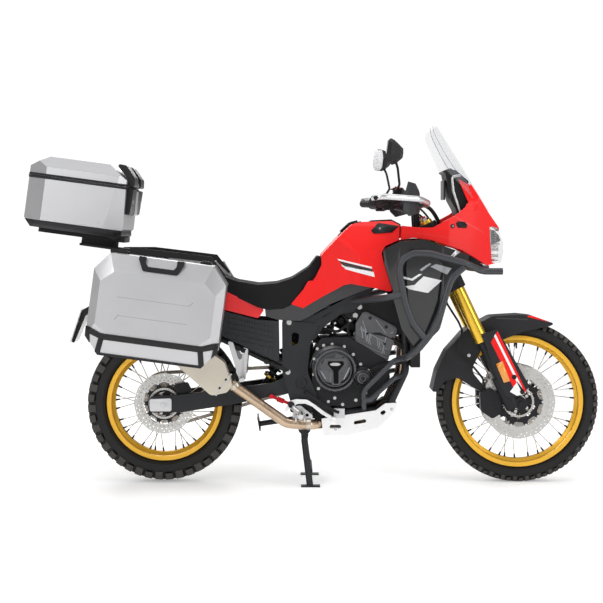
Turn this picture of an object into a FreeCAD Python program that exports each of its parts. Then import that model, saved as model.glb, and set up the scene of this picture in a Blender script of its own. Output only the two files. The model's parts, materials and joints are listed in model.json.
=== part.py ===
import FreeCAD, Part
import math
import os
from FreeCAD import Matrix, Placement, Rotation, Vector

doc = FreeCAD.newDocument("AdventureMotorcycle")
sheet = doc.addObject("Spreadsheet::Sheet", "Sizes")

# Driving dimensions in millimetres and degrees.
# +X is forward, +Y is the rider's left, +Z is up, and the floor is Z = 0.
driving = [
    ("wheelbase", 1510.0), ("rearAxleX", -642.0), ("rearAxleZ", 339.0), ("frontAxleZ", 345.0),
    ("rearTyreHeight", 82.0), ("rearTyreWidth", 142.0), ("rearRimRadius", 247.0), ("rearRimWidth", 92.0),
    ("frontTyreHeight", 64.0), ("frontTyreWidth", 92.0), ("frontRimRadius", 281.0), ("frontRimWidth", 66.0),
    ("rearBlocks", 36), ("frontBlocks", 44), ("rearBlockDepth", 11.0), ("frontBlockDepth", 7.0),
    ("tyreSides", 48), ("treadGroove", 4.0),
    ("rimWall", 4.0), ("rimDepth", 19.0), ("beadInset", 6.0), ("beadFit", 0.25),
    ("axleRadius", 10.0), ("runningFit", 0.05), ("faceGap", 0.3), ("movingGap", 5.0),
    ("hubFlangeRadius", 48.0), ("hubBarrelRadius", 27.0), ("hubFlangeWidth", 6.0),
    ("frontHubHalf", 40.0), ("rearHubHalf", 46.0), ("spokeCount", 36), ("spokeRadius", 2.0),
    ("spokeSpacing", 5.0), ("spokeSweep", 38.0), ("spokeSeat", 0.7), ("discBossRadius", 32.0),
    ("discThickness", 5.0), ("frontDiscRadius", 157.0), ("frontDiscInset", 58.0),
    ("rearDiscRadius", 129.0), ("rearDiscInset", 60.0), ("discBandWidth", 32.0), ("discBoltRing", 44.0),
    ("sprocketRadius", 112.0), ("sprocketWidth", 8.0), ("chainLine", 80.0), ("chainWidth", 16.0),
    ("chainDepth", 14.0),
    ("driveSprocketRadius", 38.0), ("driveSprocketX", 22.0), ("driveSprocketZ", 452.0),
    ("rake", 25.1), ("forkLead", 35.0), ("yokeOffset", 28.0), ("forkSpread", 105.0),
    ("forkTopZ", 1103.0), ("upperYokeZ", 1078.0), ("lowerYokeZ", 846.0), ("yokeDepth", 34.0),
    ("lowerYokeDepth", 62.0), ("outerTubeRadius", 29.0), ("outerTubeEndZ", 606.0), ("stanchionRadius", 22.0),
    ("lowerLegTopZ", 455.0), ("lowerLegRadius", 31.0), ("headTubeRadius", 34.0), ("stemRadius", 17.0),
    ("armInner", 93.0), ("armWidth", 32.0), ("frameTubeRadius", 16.0), ("sparWidth", 26.0),
    ("plateThickness", 14.0), ("plateOffset", 118.0),
    ("clutchX", 76.0), ("clutchZ", 505.0), ("clutchRadius", 88.0), ("coverDepth", 42.0),
    ("waterPumpX", 200.0), ("waterPumpZ", 461.0), ("waterPumpRadius", 40.0), ("generatorX", 196.0),
    ("generatorZ", 484.0), ("generatorRadius", 66.0),
    ("headHalfWidth", 112.0), ("finPitch", 13.0), ("finGroove", 4.0), ("finDepth", 5.0), ("crashRadius", 14.0),
    ("crashSpread", 290.0),
    ("tankHalfWidth", 190.0), ("tunnelHalf", 128.3), ("seatHalfWidth", 150.0), ("screenThickness", 4.0),
    ("screenHalfWidth", 165.0), ("rackTubeRadius", 9.0), ("caseTilt", 7.6), ("topCaseX", -992.5),
    ("topCaseZ", 1070.0), ("topCaseLength", 454.0), ("topCaseWidth", 540.0), ("topCaseBody", 212.0),
    ("topCaseLid", 84.0), ("topCaseChamfer", 34.0), ("topCaseLidChamfer", 46.0), ("topCaseLean", 46.0),
    ("topCaseCutX", 78.0), ("topCaseCutY", 60.0), ("caseWall", 3.0), ("lidHingeReach", 6.0),
    ("pannierX", -643.0), ("pannierZ", 757.0), ("pannierLength", 532.0), ("pannierHeight", 410.0),
    ("pannierChamferX", 58.0), ("pannierChamferZ", 70.0), ("pannierInner", 240.0), ("pannierTray", 62.0),
    ("pannierShell", 150.0), ("pannierCrown", 28.0), ("guardThickness", 6.0),
    ("centreStandX", -45.0), ("centreStandZ", 224.0), ("centreStandFootX", -20.0),
    ("centreStandHalf", 150.0), ("standTubeRadius", 14.0), ("sideStandX", 20.0), ("sideStandZ", 262.0),
    ("sideStandY", 146.0), ("sideStandCant", 15.5), ("sideStandFold", 9.0), ("sideStandLength", 262.0),
    ("plateHalfWidth", 90.0), ("guardTubeRadius", 11.0), ("stripThickness", 6.0), ("hoseRadius", 4.5),
    ("hingePinRadius", 5.0), ("drawnAxleX", 868.0), ("stretchFrom", -430.0), ("stretchTo", 345.0),
]
for row, (alias, value) in enumerate(driving, 1):
    sheet.set("A%d" % row, alias)
    sheet.set("B%d" % row, str(value))
    sheet.setAlias("B%d" % row, alias)
share = "max(0; min(1; (%s - stretchFrom) / (stretchTo - stretchFrom)))"
for row, alias in enumerate(("clutchX", "waterPumpX", "generatorX", "driveSprocketX"), len(driving) + 2):
    sheet.set("A%d" % row, alias + "At")
    sheet.set("B%d" % row, "=" + alias + " + (rearAxleX + wheelbase - drawnAxleX) * " + share % alias)
    sheet.setAlias("B%d" % row, alias + "At")
doc.recompute()


def size(alias):
    return float(sheet.get(alias))


# The outlines below were drawn for a front axle at drawnAxleX.
# With another wheelbase the luggage stays, the steering head and all ahead of it go with the front wheel,
# and what lies between them is stretched.
frontAxleX = size("rearAxleX") + size("wheelbase")
noseShift = frontAxleX - size("drawnAxleX")


def station(x):
    along = (x - size("stretchFrom")) / (size("stretchTo") - size("stretchFrom"))
    return x + noseShift * min(max(along, 0.0), 1.0)


def stationed(corners):
    return [(station(corner[0]),) + tuple(corner[1:]) for corner in corners]


def withNose(corners):
    return [(corner[0] + noseShift,) + tuple(corner[1:]) for corner in corners]


nodes = []


def keep(label, source):
    """Name a finished sub-part."""
    source.Label = label
    nodes.append(source)
    return source


# Outlines: straight runs with each corner rounded by its own radius.

def roundedEdges(corners):
    """Closed outline of (u, v, radius) corners as line segments and arcs in a plane."""
    count = len(corners)
    spans = []
    for index in range(count):
        before = corners[index - 1]
        here = corners[index]
        after = corners[(index + 1) % count]
        corner = Vector(here[0], here[1], 0)
        back = Vector(before[0], before[1], 0) - corner
        ahead = Vector(after[0], after[1], 0) - corner
        radius = here[2] if len(here) > 2 else 0.0
        turn = back.getAngle(ahead)
        if radius <= 0 or turn > math.pi - 0.02:
            spans.append((corner, None, corner))
            continue
        reach = radius / math.tan(turn / 2)
        limit = 0.48 * min(back.Length, ahead.Length)
        if reach > limit:
            reach = limit
            radius = reach * math.tan(turn / 2)
        start = corner + back.normalize() * reach
        end = corner + ahead.normalize() * reach
        inward = (back + ahead).normalize()
        centre = corner + inward * (radius / math.sin(turn / 2))
        spans.append((start, centre - inward * radius, end))
    edges = []
    for index in range(count):
        start, middle, end = spans[index]
        if middle is not None:
            edges.append(Part.Arc(start, middle, end))
        following = spans[(index + 1) % count][0]
        if (following - end).Length > 1e-4:
            edges.append(Part.LineSegment(end, following))
    return edges


def circleEdge(centreU, centreV, radius):
    return [Part.Circle(Vector(centreU, centreV, 0), Vector(0, 0, 1), radius)]


def mirroredOutline(half):
    """Outline symmetric about v = 0 from its upper half."""
    return half + [(corner[0], -corner[1]) + tuple(corner[2:]) for corner in reversed(half)]


planes = {"side": "XZ_Plane", "plan": "XY_Plane", "front": "YZ_Plane"}


def sketchOn(body, view, name, edges, offset="0"):
    sketch = body.newObject("Sketcher::SketchObject", name)
    role = planes[view]
    plane = [item for item in body.Origin.OriginFeatures if item.Role == role][0]
    sketch.AttachmentSupport = [(plane, "")]
    sketch.MapMode = "FlatFace"
    sign = "-1 mm * " if view == "side" else "1 mm * "
    sketch.setExpression("AttachmentOffset.Base.z", sign + "(" + offset + ")")
    sketch.addGeometry(edges, False)
    return sketch


def newBody(name):
    return doc.addObject("PartDesign::Body", name)


def padOn(body, view, name, edges, start, length):
    """Pad from start, a distance along the view's own axis, towards its positive side."""
    sketch = sketchOn(body, view, name + "Sketch", edges, start)
    doc.recompute()
    pad = body.newObject("PartDesign::Pad", name + "Pad")
    pad.Profile = sketch
    pad.Reversed = view == "side"
    pad.setExpression("Length", "1 mm * (" + length + ")")
    body.Tip = pad
    return pad


def pocketOn(body, view, name, edges, start, length):
    """Pocket from start towards the positive side of the view's own axis."""
    sketch = sketchOn(body, view, name + "Sketch", edges, start)
    doc.recompute()
    pocket = body.newObject("PartDesign::Pocket", name + "Pocket")
    pocket.Profile = sketch
    pocket.Reversed = view != "side"
    pocket.setExpression("Length", "1 mm * (" + length + ")")
    body.Tip = pocket
    return pocket


def slab(name, view, corners, start, length, holes=(), mapped=stationed):
    """Body with one padded outline and rounded holes in the same sketch."""
    body = newBody(name)
    edges = []
    for outline in [corners] + list(holes):
        edges += roundedEdges(mapped(outline) if mapped and view != "front" else outline)
    padOn(body, view, name, edges, start, length)
    return body


def turned(name, corners, atX, atY, atZ):
    """Body revolved about an axis along Y; corners are (radius, y, rounding)."""
    body = newBody(name)
    sketch = sketchOn(body, "plan", name + "Sketch", roundedEdges(corners))
    doc.recompute()
    revolution = body.newObject("PartDesign::Revolution", name + "Revolution")
    revolution.Profile = sketch
    revolution.ReferenceAxis = (sketch, ["V_Axis"])
    revolution.Angle = 360.0
    body.Tip = revolution
    place(body, atX, atY, atZ)
    return body


def place(item, atX, atY, atZ):
    """Bind a place to the sheet, each coordinate as an expression."""
    for axis, expression in (("x", atX), ("y", atY), ("z", atZ)):
        item.setExpression("Placement.Base." + axis, "1 mm * (" + expression + ")")


def tilt(item, angle):
    """Turn an item about Y by an angle from the sheet, nose down when it is positive."""
    item.setExpression("Placement.Rotation.Axis.x", "0")
    item.setExpression("Placement.Rotation.Axis.y", "1")
    item.setExpression("Placement.Rotation.Axis.z", "0")
    item.setExpression("Placement.Rotation.Angle", angle)


def fused(name, parts):
    fuse = doc.addObject("Part::MultiFuse", name)
    fuse.Shapes = parts
    fuse.Refine = True
    return fuse


def common(name, parts):
    result = doc.addObject("Part::MultiCommon", name)
    result.Shapes = parts
    return result


def group(name, parts):
    compound = doc.addObject("Part::Compound", name)
    compound.Links = parts
    return compound


def without(name, base, tools):
    """Base with the room that its neighbours take cut out of it."""
    cut = doc.addObject("Part::Cut", name)
    cut.Base = base
    cut.Tool = tools[0] if len(tools) == 1 else group(name + "Tools", tools)
    return cut


def mirror(name, source):
    """The same piece on the other side of the bike."""
    twin = doc.addObject("Part::Mirroring", name)
    twin.Source = source
    twin.Normal = Vector(0, 1, 0)
    return twin


def pair(name, source):
    return group(name, [source, mirror(name + "Twin", source)])


def solidOf(name, shape):
    feature = doc.addObject("Part::Feature", name)
    feature.Shape = shape
    return feature


def rodPath(points, bend):
    """Straight runs joined by tangent arcs."""
    places = [Vector(*point) for point in points]
    edges = []
    start = places[0]
    for before, here, after in zip(places, places[1:], places[2:]):
        back = before - here
        ahead = after - here
        turn = back.getAngle(ahead)
        if turn > math.pi - 0.01:
            continue
        reach = min(bend / math.tan(turn / 2), 0.45 * min(back.Length, ahead.Length))
        radius = reach * math.tan(turn / 2)
        enter = here + back.normalize() * reach
        leave = here + ahead.normalize() * reach
        inward = (back + ahead).normalize()
        middle = here + inward * (radius / math.sin(turn / 2) - radius)
        edges.append(Part.LineSegment(start, enter).toShape())
        edges.append(Part.Arc(enter, middle, leave).toShape())
        start = leave
    edges.append(Part.LineSegment(start, places[-1]).toShape())
    return Part.Wire(edges)


def rod(points, radius, bend=60.0):
    """Round bar or tube, solid, along a bent path."""
    path = rodPath(points, bend)
    first = path.OrderedEdges[0]
    heading = first.tangentAt(first.FirstParameter)
    ring = Part.Wire(Part.makeCircle(radius, Vector(*points[0]), heading))
    return path.makePipeShell([ring], True, False)


def flip(point):
    return (point[0], -point[1], point[2])


def bothSides(points, radius, bend=60.0, mapped=stationed):
    drawn = mapped(points) if mapped else points
    return [rod(drawn, radius, bend), rod([flip(point) for point in drawn], radius, bend)]


def joinShapes(shapes):
    return shapes[0].multiFuse(shapes[1:]).removeSplitter()


# Steering geometry, worked out from the rake, the lead and the axle.
frontAxle = Vector(frontAxleX, 0, size("frontAxleZ"))
rakeAngle = math.radians(size("rake"))
steeringUp = Vector(-math.sin(rakeAngle), 0, math.cos(rakeAngle))
steeringAhead = Vector(math.cos(rakeAngle), 0, math.sin(rakeAngle))
forkFoot = frontAxle - steeringAhead * size("forkLead")
stemFoot = forkFoot - steeringAhead * size("yokeOffset")


def alongFork(height, side=0, ahead=0.0):
    """Point on a fork leg's axis at a height above the floor."""
    reach = (height - forkFoot.z) / steeringUp.z
    point = forkFoot + steeringUp * reach + steeringAhead * ahead
    return point + Vector(0, side * size("forkSpread"), 0)


def alongStem(height):
    reach = (height - stemFoot.z) / steeringUp.z
    return stemFoot + steeringUp * reach


def behindStem(height, side, behind):
    """Drawn point behind the steering axis, as the frame's outlines want it."""
    return (alongStem(height).x - noseShift - behind, side, height)


def post(bottom, top, radius):
    axis = top - bottom
    return Part.makeCylinder(radius, axis.Length, bottom, axis)


# Wheels.

def rimOutline(radius, width):
    half = width / 2
    wall = size("rimWall")
    depth = size("rimDepth")
    inset = size("beadInset")
    seat = radius - depth + wall
    upper = [
        (radius, half), (radius, half - wall), (seat, half - inset), (seat - 3, 0.46 * half),
        (seat - 15, 0.34 * half),
    ]
    lower = [(corner[0], -corner[1]) for corner in reversed(upper)]
    inner = [
        (seat - wall, -half), (seat - wall - 3, -0.46 * half - wall), (seat - 15 - wall, -0.34 * half),
        (seat - 15 - wall, 0.34 * half), (seat - wall - 3, 0.46 * half + wall), (seat - wall, half),
    ]
    return [(u, v, 1.5) for u, v in upper + lower + inner]


def around(radii, count, y, phase=0.0):
    """Points round the wheel's axis: each pitch repeats the (share, radius) pairs."""
    points = []
    for index in range(count):
        for along, radius in radii:
            angle = 2 * math.pi * (index + along + phase) / count
            points.append(Vector(radius * math.cos(angle), y, radius * math.sin(angle)))
    return points


def sectioned(sections):
    """Flat-faced solid through sections that are scaled copies of each other."""
    faces = [Part.Face(Part.makePolygon(end + end[:1])) for end in (sections[0], sections[-1])]
    for near, far in zip(sections, sections[1:]):
        for index in range(len(near)):
            after = (index + 1) % len(near)
            faces.append(Part.Face(Part.makePolygon([near[index], near[after], far[after], far[index],
                                                     near[index]])))
    solid = Part.Solid(Part.Shell(faces))
    if solid.Volume < 0:
        solid.reverse()
    return solid


def sidedDrum(profile):
    sides = int(size("tyreSides"))
    return sectioned([around([(0.0, radius)], sides, y) for radius, y in profile])


def lugRing(count, tip, fall, depth, inner, start, end, phase):
    """One ring of tread blocks, its tips falling off towards the shoulder."""
    sections = []
    for y, drop in ((start, 0.0), (end, fall)):
        scale = 1 - drop / tip
        root = (tip - depth) * scale
        block = [(0.0, root), (0.36, root), (0.40, tip * scale), (0.96, tip * scale)]
        sections.append(around(block, count, y, phase))
    bore = sidedDrum([(inner, min(start, end) - 1), (inner, max(start, end) + 1)])
    return sectioned(sections).cut(bore)


def tyreShape(end):
    """Carcass with two staggered rings of tread blocks."""
    rim = size(end + "RimRadius")
    tip = rim + size(end + "TyreHeight")
    half = size(end + "TyreWidth") / 2
    depth = size(end + "BlockDepth")
    beadHalf = size(end + "RimWidth") / 2 - size("beadInset") - size("faceGap")
    bead = (rim - size("rimDepth") + size("rimWall") + size("beadFit")) / math.cos(math.pi / size("tyreSides"))
    flank = [(rim + 2.0, beadHalf), (rim + 16.0, 0.97 * half), (tip - 0.3 * half, half),
             (tip - 0.12 * half - depth - 3.0, 0.9 * half), (tip - depth - 2.0, 0.1 * half)]
    profile = [(radius, -y) for radius, y in flank] + flank[::-1]
    carcass = sidedDrum(profile).cut(sidedDrum([(bead, -half), (bead, half)]))
    count = int(size(end + "Blocks"))
    groove = size("treadGroove")
    rings = [lugRing(count, tip, 0.12 * half, depth, rim + 0.4 * (tip - rim), side * groove, side * 0.88 * half,
                     phase) for side, phase in ((1, 0.0), (-1, 0.5))]
    return carcass.multiFuse(rings)


def spokeSet(half, rimRadius, centre):
    """Crossed spokes, leading and trailing ones on the two faces of each hub flange."""
    inner = size("hubFlangeRadius") - 2.0
    outer = rimRadius - size("rimDepth") - 15.0 - size("spokeSeat")
    perSide = int(size("spokeCount") // 2)
    spokes = []
    for index in range(perSide):
        for side in (1, -1):
            angle = math.radians((index + (0.5 if side < 0 else 0.0)) * 360.0 / perSide)
            lead = 1 if index % 2 else -1
            shift = size("spokeSpacing") * (0.5 + 0.5 * lead)
            sweep = math.radians(lead * size("spokeSweep"))
            start = Vector(inner * math.cos(angle), side * (half - 4.0 - shift), inner * math.sin(angle))
            reach = angle + sweep
            end = Vector(outer * math.cos(reach), side * (8.0 - shift), outer * math.sin(reach))
            spokes.append(post(centre + start, centre + end, size("spokeRadius")))
    return spokes


def discOutline(radius, inner, thickness):
    return [(inner, 0), (radius, 0), (radius, thickness), (inner, thickness)]


def buildDisc(name, radius, atX, atY, atZ):
    """Brake disc and its carrier: ring, six arms, cooling holes."""
    disc = turned(name, discOutline(radius, size("discBossRadius") + size("beadFit"), size("discThickness")),
                  atX, atY, atZ)
    doc.recompute()
    band = radius - size("discBandWidth")
    start = math.radians(12)
    end = math.radians(48)
    innerRing = size("discBoltRing") + 4.0
    outerRing = band - 6.0
    window = [
        Part.LineSegment(polar(innerRing, start), polar(outerRing, start)),
        Part.Arc(polar(outerRing, start), polar(outerRing, (start + end) / 2), polar(outerRing, end)),
        Part.LineSegment(polar(outerRing, end), polar(innerRing, end)),
        Part.Arc(polar(innerRing, end), polar(innerRing, (start + end) / 2), polar(innerRing, start)),
    ]
    pocket = pocketOn(disc, "side", name + "Window", window, "0", "Sizes.discThickness")
    doc.recompute()
    pattern = disc.newObject("PartDesign::PolarPattern", name + "Windows")
    pattern.Originals = [pocket]
    pattern.Axis = (pocket.Profile[0], ["N_Axis"])
    pattern.Angle = 360
    pattern.Occurrences = 6
    disc.Tip = pattern
    return disc


def polar(radius, angle):
    return Vector(radius * math.cos(angle), radius * math.sin(angle), 0)


def hubOutline(half, boss):
    barrel = size("hubBarrelRadius")
    flange = size("hubFlangeRadius")
    bore = size("axleRadius") + size("runningFit")
    return mirroredOutline([
        (bore, half + boss), (size("discBossRadius"), half + boss), (size("discBossRadius"), half),
        (flange, half, 1.5), (flange, half - size("hubFlangeWidth") - 4.0, 1.5), (barrel, half - 18.0, 8.0),
    ])


axleX = "Sizes.rearAxleX + Sizes.wheelbase"
frontTyre = solidOf("FrontTyre", tyreShape("front"))
place(frontTyre, axleX, "0", "Sizes.frontAxleZ")
keep("front_tyre", frontTyre)
keep("front_rim", turned("FrontRim", rimOutline(size("frontRimRadius"), size("frontRimWidth")), axleX, "0",
                         "Sizes.frontAxleZ"))
frontHub = turned("FrontHub", hubOutline(size("frontHubHalf"), 24.0), axleX, "0", "Sizes.frontAxleZ")
frontSpokes = solidOf("FrontSpokes", Part.makeCompound(
    spokeSet(size("frontHubHalf"), size("frontRimRadius"), frontAxle)))
keep("front_hub_spokes", fused("FrontHubSpokes", [frontHub, frontSpokes]))
frontDisc = buildDisc("FrontDisc", size("frontDiscRadius"), axleX, "Sizes.frontDiscInset", "Sizes.frontAxleZ")
keep("front_discs", pair("FrontDiscs", frontDisc))

rearAxle = Vector(size("rearAxleX"), 0, size("rearAxleZ"))
rearTyre = solidOf("RearTyre", tyreShape("rear"))
place(rearTyre, "Sizes.rearAxleX", "0", "Sizes.rearAxleZ")
keep("rear_tyre", rearTyre)
keep("rear_rim", turned("RearRim", rimOutline(size("rearRimRadius"), size("rearRimWidth")),
                        "Sizes.rearAxleX", "0", "Sizes.rearAxleZ"))
rearHub = turned("RearHub", hubOutline(size("rearHubHalf"), 40.0), "Sizes.rearAxleX", "0", "Sizes.rearAxleZ")
rearSpokes = solidOf("RearSpokes", Part.makeCompound(
    spokeSet(size("rearHubHalf"), size("rearRimRadius"), rearAxle)))
keep("rear_hub_spokes", fused("RearHubSpokes", [rearHub, rearSpokes]))
rearDisc = buildDisc("RearDisc", size("rearDiscRadius"), "Sizes.rearAxleX",
                     "-Sizes.rearDiscInset - Sizes.discThickness", "Sizes.rearAxleZ")
keep("rear_disc", rearDisc)


def toothedEdges(radius, count, depth):
    """Sprocket outline: tips on one circle, roots on another."""
    corners = []
    for index in range(count):
        for share, reach in ((0.0, -depth), (0.35, 0.0), (0.65, 0.0)):
            angle = 2 * math.pi * (index + share) / count
            point = polar(radius + reach, angle)
            corners.append((point.x, point.y))
    return roundedEdges(corners)


sprocket = newBody("Sprocket")
padOn(sprocket, "side", "Sprocket",
      toothedEdges(size("sprocketRadius") - size("chainDepth") / 2 - 0.5, 44, 5.0)
      + circleEdge(0, 0, size("discBossRadius") + size("beadFit")),
      "-Sizes.sprocketWidth / 2", "Sizes.sprocketWidth")
place(sprocket, "Sizes.rearAxleX", "Sizes.chainLine", "Sizes.rearAxleZ")
keep("rear_sprocket", sprocket)


# Chain: one closed band round both sprockets, its links told by notches on the outer side.

def chainLoop():
    big = Vector(size("rearAxleX"), 0, size("rearAxleZ"))
    small = Vector(size("driveSprocketXAt"), 0, size("driveSprocketZ"))
    half = size("chainDepth") / 2
    gap = small - big
    angle = math.atan2(gap.z, gap.x)
    band = []
    for offset in (half, -half):
        bigRadius = size("sprocketRadius") + offset + size("movingGap")
        smallRadius = size("driveSprocketRadius") + offset
        lean = math.acos((bigRadius - smallRadius) / gap.Length)

        def rim(centre, radius, heading):
            return centre + Vector(radius * math.cos(heading), 0, radius * math.sin(heading))

        topBig = rim(big, bigRadius, angle + lean)
        topSmall = rim(small, smallRadius, angle + lean)
        lowBig = rim(big, bigRadius, angle - lean)
        lowSmall = rim(small, smallRadius, angle - lean)
        loop = Part.Wire([
            Part.LineSegment(topBig, topSmall).toShape(),
            Part.Arc(topSmall, rim(small, smallRadius, angle), lowSmall).toShape(),
            Part.LineSegment(lowSmall, lowBig).toShape(),
            Part.Arc(lowBig, rim(big, bigRadius, angle + math.pi), topBig).toShape(),
        ])
        band.append(Part.Face(loop))
    ring = band[0].cut(band[1])
    ring.translate(Vector(0, size("chainLine") - size("chainWidth") / 2, 0))
    return ring.extrude(Vector(0, size("chainWidth"), 0))


keep("chain", solidOf("Chain", chainLoop()))

# Frame: head tube, twin spars, down tubes, seat rails and pivot plates.
headLow = alongStem(size("lowerYokeZ") + size("lowerYokeDepth") / 2 + 12.0)
headHigh = alongStem(size("upperYokeZ") - size("yokeDepth") / 2 - 8.0)
headTube = post(headLow, headHigh, size("headTubeRadius")).cut(
    post(headLow, headHigh, size("stemRadius") + size("runningFit")))
tube = size("frameTubeRadius")
coverInner = size("plateOffset") + 10.0
strutY = coverInner - size("faceGap") - 0.75 * tube
railY = size("tunnelHalf") - size("faceGap") - 0.75 * tube
frameRods = []
frameRods += bothSides([behindStem(1000, 22, 22), (330, 84, 905), (120, 112, 752), (-25, 112, 660)], tube)
frameRods += bothSides([behindStem(918, 18, 24), (382, 84, 700), (382, 104, 480), (306, 104, 318),
                        (60, 104, 300), (-50, 112, 372)], tube)
frameRods += bothSides([(100, 112, 742), (-60, railY, 782), (-380, 104, 846), (-604, 92, 880)], tube * 0.75)
frameRods += bothSides([(-104, strutY, 502), (-403, strutY, 622), (-500, 104, 740), (-530, 94, 871)],
                       tube * 0.75)
crossTubes = [post(Vector(station(x), -half, z), Vector(station(x), half, z), radius) for x, half, z, radius in (
    (-25, 112, 660, tube), (60, 104, 300, tube), (-380, 104, 846, tube * 0.75), (-598, 92, 879, tube * 0.75))]
frameShape = solidOf("FrameRods", joinShapes([headTube] + frameRods + crossTubes))

plateCorners = [
    (-140, 699, 14), (20, 681, 20), (-22, 590, 40), (-32, 480, 60), (10, 372, 20), (-20, 330, 14),
    (-104, 352, 20), (-138, 470, 60),
]
sparPlate = slab("SparPlate", "side", [
    (-62, 686, 8), (-24, 604, 20), (4, 622, 12), (32, 665, 12), (109, 723, 20), (160, 732, 10), (235, 802, 20),
    (232, 846, 14), (150, 806, 30), (110, 778, 30), (0, 722, 30), (-60, 698, 8)], "100", "Sizes.sparWidth",
    [[(40, 690, 6), (84, 724, 6), (78, 738, 6), (30, 712, 6)]])
slotCorners = [(-100, 585, 12), (-72, 600, 12), (-66, 640, 12), (-98, 650, 12)]
pivotPlate = slab("PivotPlate", "side", plateCorners, "Sizes.plateOffset", "Sizes.plateThickness",
                  [slotCorners])
pivotPlates = pair("PivotPlates", pivotPlate)
pivotTube = slab("PivotTube", "side", [(-81, 410, 23.9), (-33, 410, 23.9), (-33, 458, 23.9), (-81, 458, 23.9)],
                 "-Sizes.plateOffset", "2 * Sizes.plateOffset")
standBracket = slab("StandBracket", "side", [(-84, 350, 10), (-10, 350, 10), (-20, 225, 20), (-45, 202, 20),
                                             (-70, 225, 20)], "95", "13")
centreStandPivot = Vector(station(size("centreStandX")), 0, size("centreStandZ"))
standPin = solidOf("CentreStandPin", Part.makeCylinder(
    8, 216, centreStandPivot - Vector(0, 108, 0), Vector(0, 1, 0)))
sideStandPivot = Vector(station(size("sideStandX")), size("sideStandY"), size("sideStandZ"))
standCant = math.radians(size("sideStandCant"))
foldAngle = math.radians(size("sideStandFold"))
sideStandAxis = Vector(0, math.cos(standCant), math.sin(standCant))
sideStandPin = solidOf("SideStandPin", Part.makeCylinder(
    6, 52, sideStandPivot - sideStandAxis * 38, sideStandAxis))
sideStandLug = slab("SideStandLug", "side", [(-20, 372, 10), (60, 316, 10), (44, 250, 20), (20, 238, 20),
                                             (0, 250, 20), (-30, 330, 10)], "106", "16")
frame = keep("frame", fused("Frame", [
    frameShape, pair("SparPlates", sparPlate), pivotPlates, pivotTube, pair("StandBrackets", standBracket),
    standPin, sideStandPin, sideStandLug]))

# Swingarm: two tapered arms joined ahead of the wheel, axle blocks at the rear.
armCorners = [
    (-700, 372, 12), (-600, 378, 30), (-420, 398, 60), (-180, 432, 80), (-81, 478, 30), (-30, 470, 30),
    (-30, 402, 30), (-180, 376, 80), (-330, 344, 80), (-560, 308, 40), (-700, 306, 12),
]
arm = slab("SwingArm", "side", armCorners, "Sizes.armInner", "Sizes.armWidth - 8")
armBridge = slab("SwingArmBridge", "side", [(-282, 392, 20), (-160, 420, 30), (-115, 412, 16), (-130, 384, 16),
                                            (-265, 362, 16)], "-Sizes.armInner", "2 * Sizes.armInner")
armPair = pair("SwingArmPair", arm)
axleSolid = post(Vector(rearAxle.x, -size("armInner") - size("armWidth") - 4, rearAxle.z),
                 Vector(rearAxle.x, size("armInner") + size("armWidth") + 4, rearAxle.z), size("axleRadius"))
axleFeature = solidOf("RearAxleShaft", axleSolid)
axleBlock = slab("AxleBlock", "side", [(-698, 364, 8), (-606, 368, 10), (-606, 312, 10), (-698, 312, 8)],
                 "Sizes.armInner + Sizes.armWidth - 8 + Sizes.faceGap", "7")
swingarm = keep("swingarm", without("Swingarm", fused("SwingarmWhole", [armPair, armBridge]),
                                    [pivotTube, axleFeature]))
keep("rear_axle", fused("RearAxle", [axleFeature, pair("AxleBlocks", axleBlock)]))


# Engine: closed crankcase, forward-leaning cylinder and head, round covers.
engineHalf = "(Sizes.plateOffset - Sizes.faceGap)"
engineCorners = [
    (-14, 540, 30), (22, 622, 30), (140, 626, 30), (180, 604, 20), (300, 528, 30), (318, 452, 30),
    (252, 348, 30), (140, 324, 30), (10, 346, 30), (-14, 400, 30),
]
crankcase = slab("Crankcase", "side", engineCorners, "-" + engineHalf, "2 * " + engineHalf)
sprocketRoom = slab("SprocketRoom", "side", [(-30, 392, 0), (80, 392, 20), (80, 512, 20), (-30, 512, 0)],
                    "66", "80")
driveSprocket = newBody("DriveSprocket")
padOn(driveSprocket, "side", "DriveSprocket",
      toothedEdges(size("driveSprocketRadius") - size("chainDepth") / 2 - size("faceGap"), 15, 4.0),
      "Sizes.chainLine - Sizes.sprocketWidth / 2", "Sizes.sprocketWidth")
driveShaft = slab("DriveShaft", "side", [(-14, -14, 14), (14, -14, 14), (14, 14, 14), (-14, 14, 14)], "60",
                  "Sizes.chainLine - 60 + Sizes.sprocketWidth", mapped=None)
for item in (driveSprocket, driveShaft):
    place(item, "Sizes.driveSprocketXAt", "0", "Sizes.driveSprocketZ")
engine = keep("engine", fused("Engine", [without("Crankcases", crankcase, [sprocketRoom, frame]), driveSprocket,
                                         driveShaft]))
headCorners = [(168, 560, 10), (172, 682, 24), (206, 738, 20), (350, 664, 20), (304, 510, 20)]
cylinder = slab("Cylinder", "side", headCorners, "-Sizes.headHalfWidth", "2 * Sizes.headHalfWidth")
valveCover = slab("ValveCover", "side", [(184, 690, 10), (208, 730, 12), (342, 662, 12), (326, 618, 10)],
                  "-Sizes.headHalfWidth - 5", "2 * Sizes.headHalfWidth + 10")
fins = []
for index in range(5):
    level = 586 + index * size("finPitch")
    groove = [(150, level), (372, level - 104), (372, level - 104 + size("finGroove")),
              (150, level + size("finGroove"))]
    fins.append(slab("Fin%d" % index, "side", groove, "Sizes.headHalfWidth - Sizes.finDepth", "20"))
finSet = group("FinSet", fins)
headBlock = without("FinnedHead", cylinder, [finSet, mirror("FinSetTwin", finSet)])
headWhole = fused("HeadWhole", [headBlock, valveCover])
head = keep("cylinder_head", without("CylinderHead", headWhole, [engine, frame]))


def roundCover(name, radius, depth, atX, atZ):
    return turned(name, [(0, 0), (radius, 0), (radius, depth * 0.5, 8), (radius * 0.82, depth * 0.9, 8),
                         (radius * 0.4, depth, 6), (0, depth)], atX, engineHalf, atZ)


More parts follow.
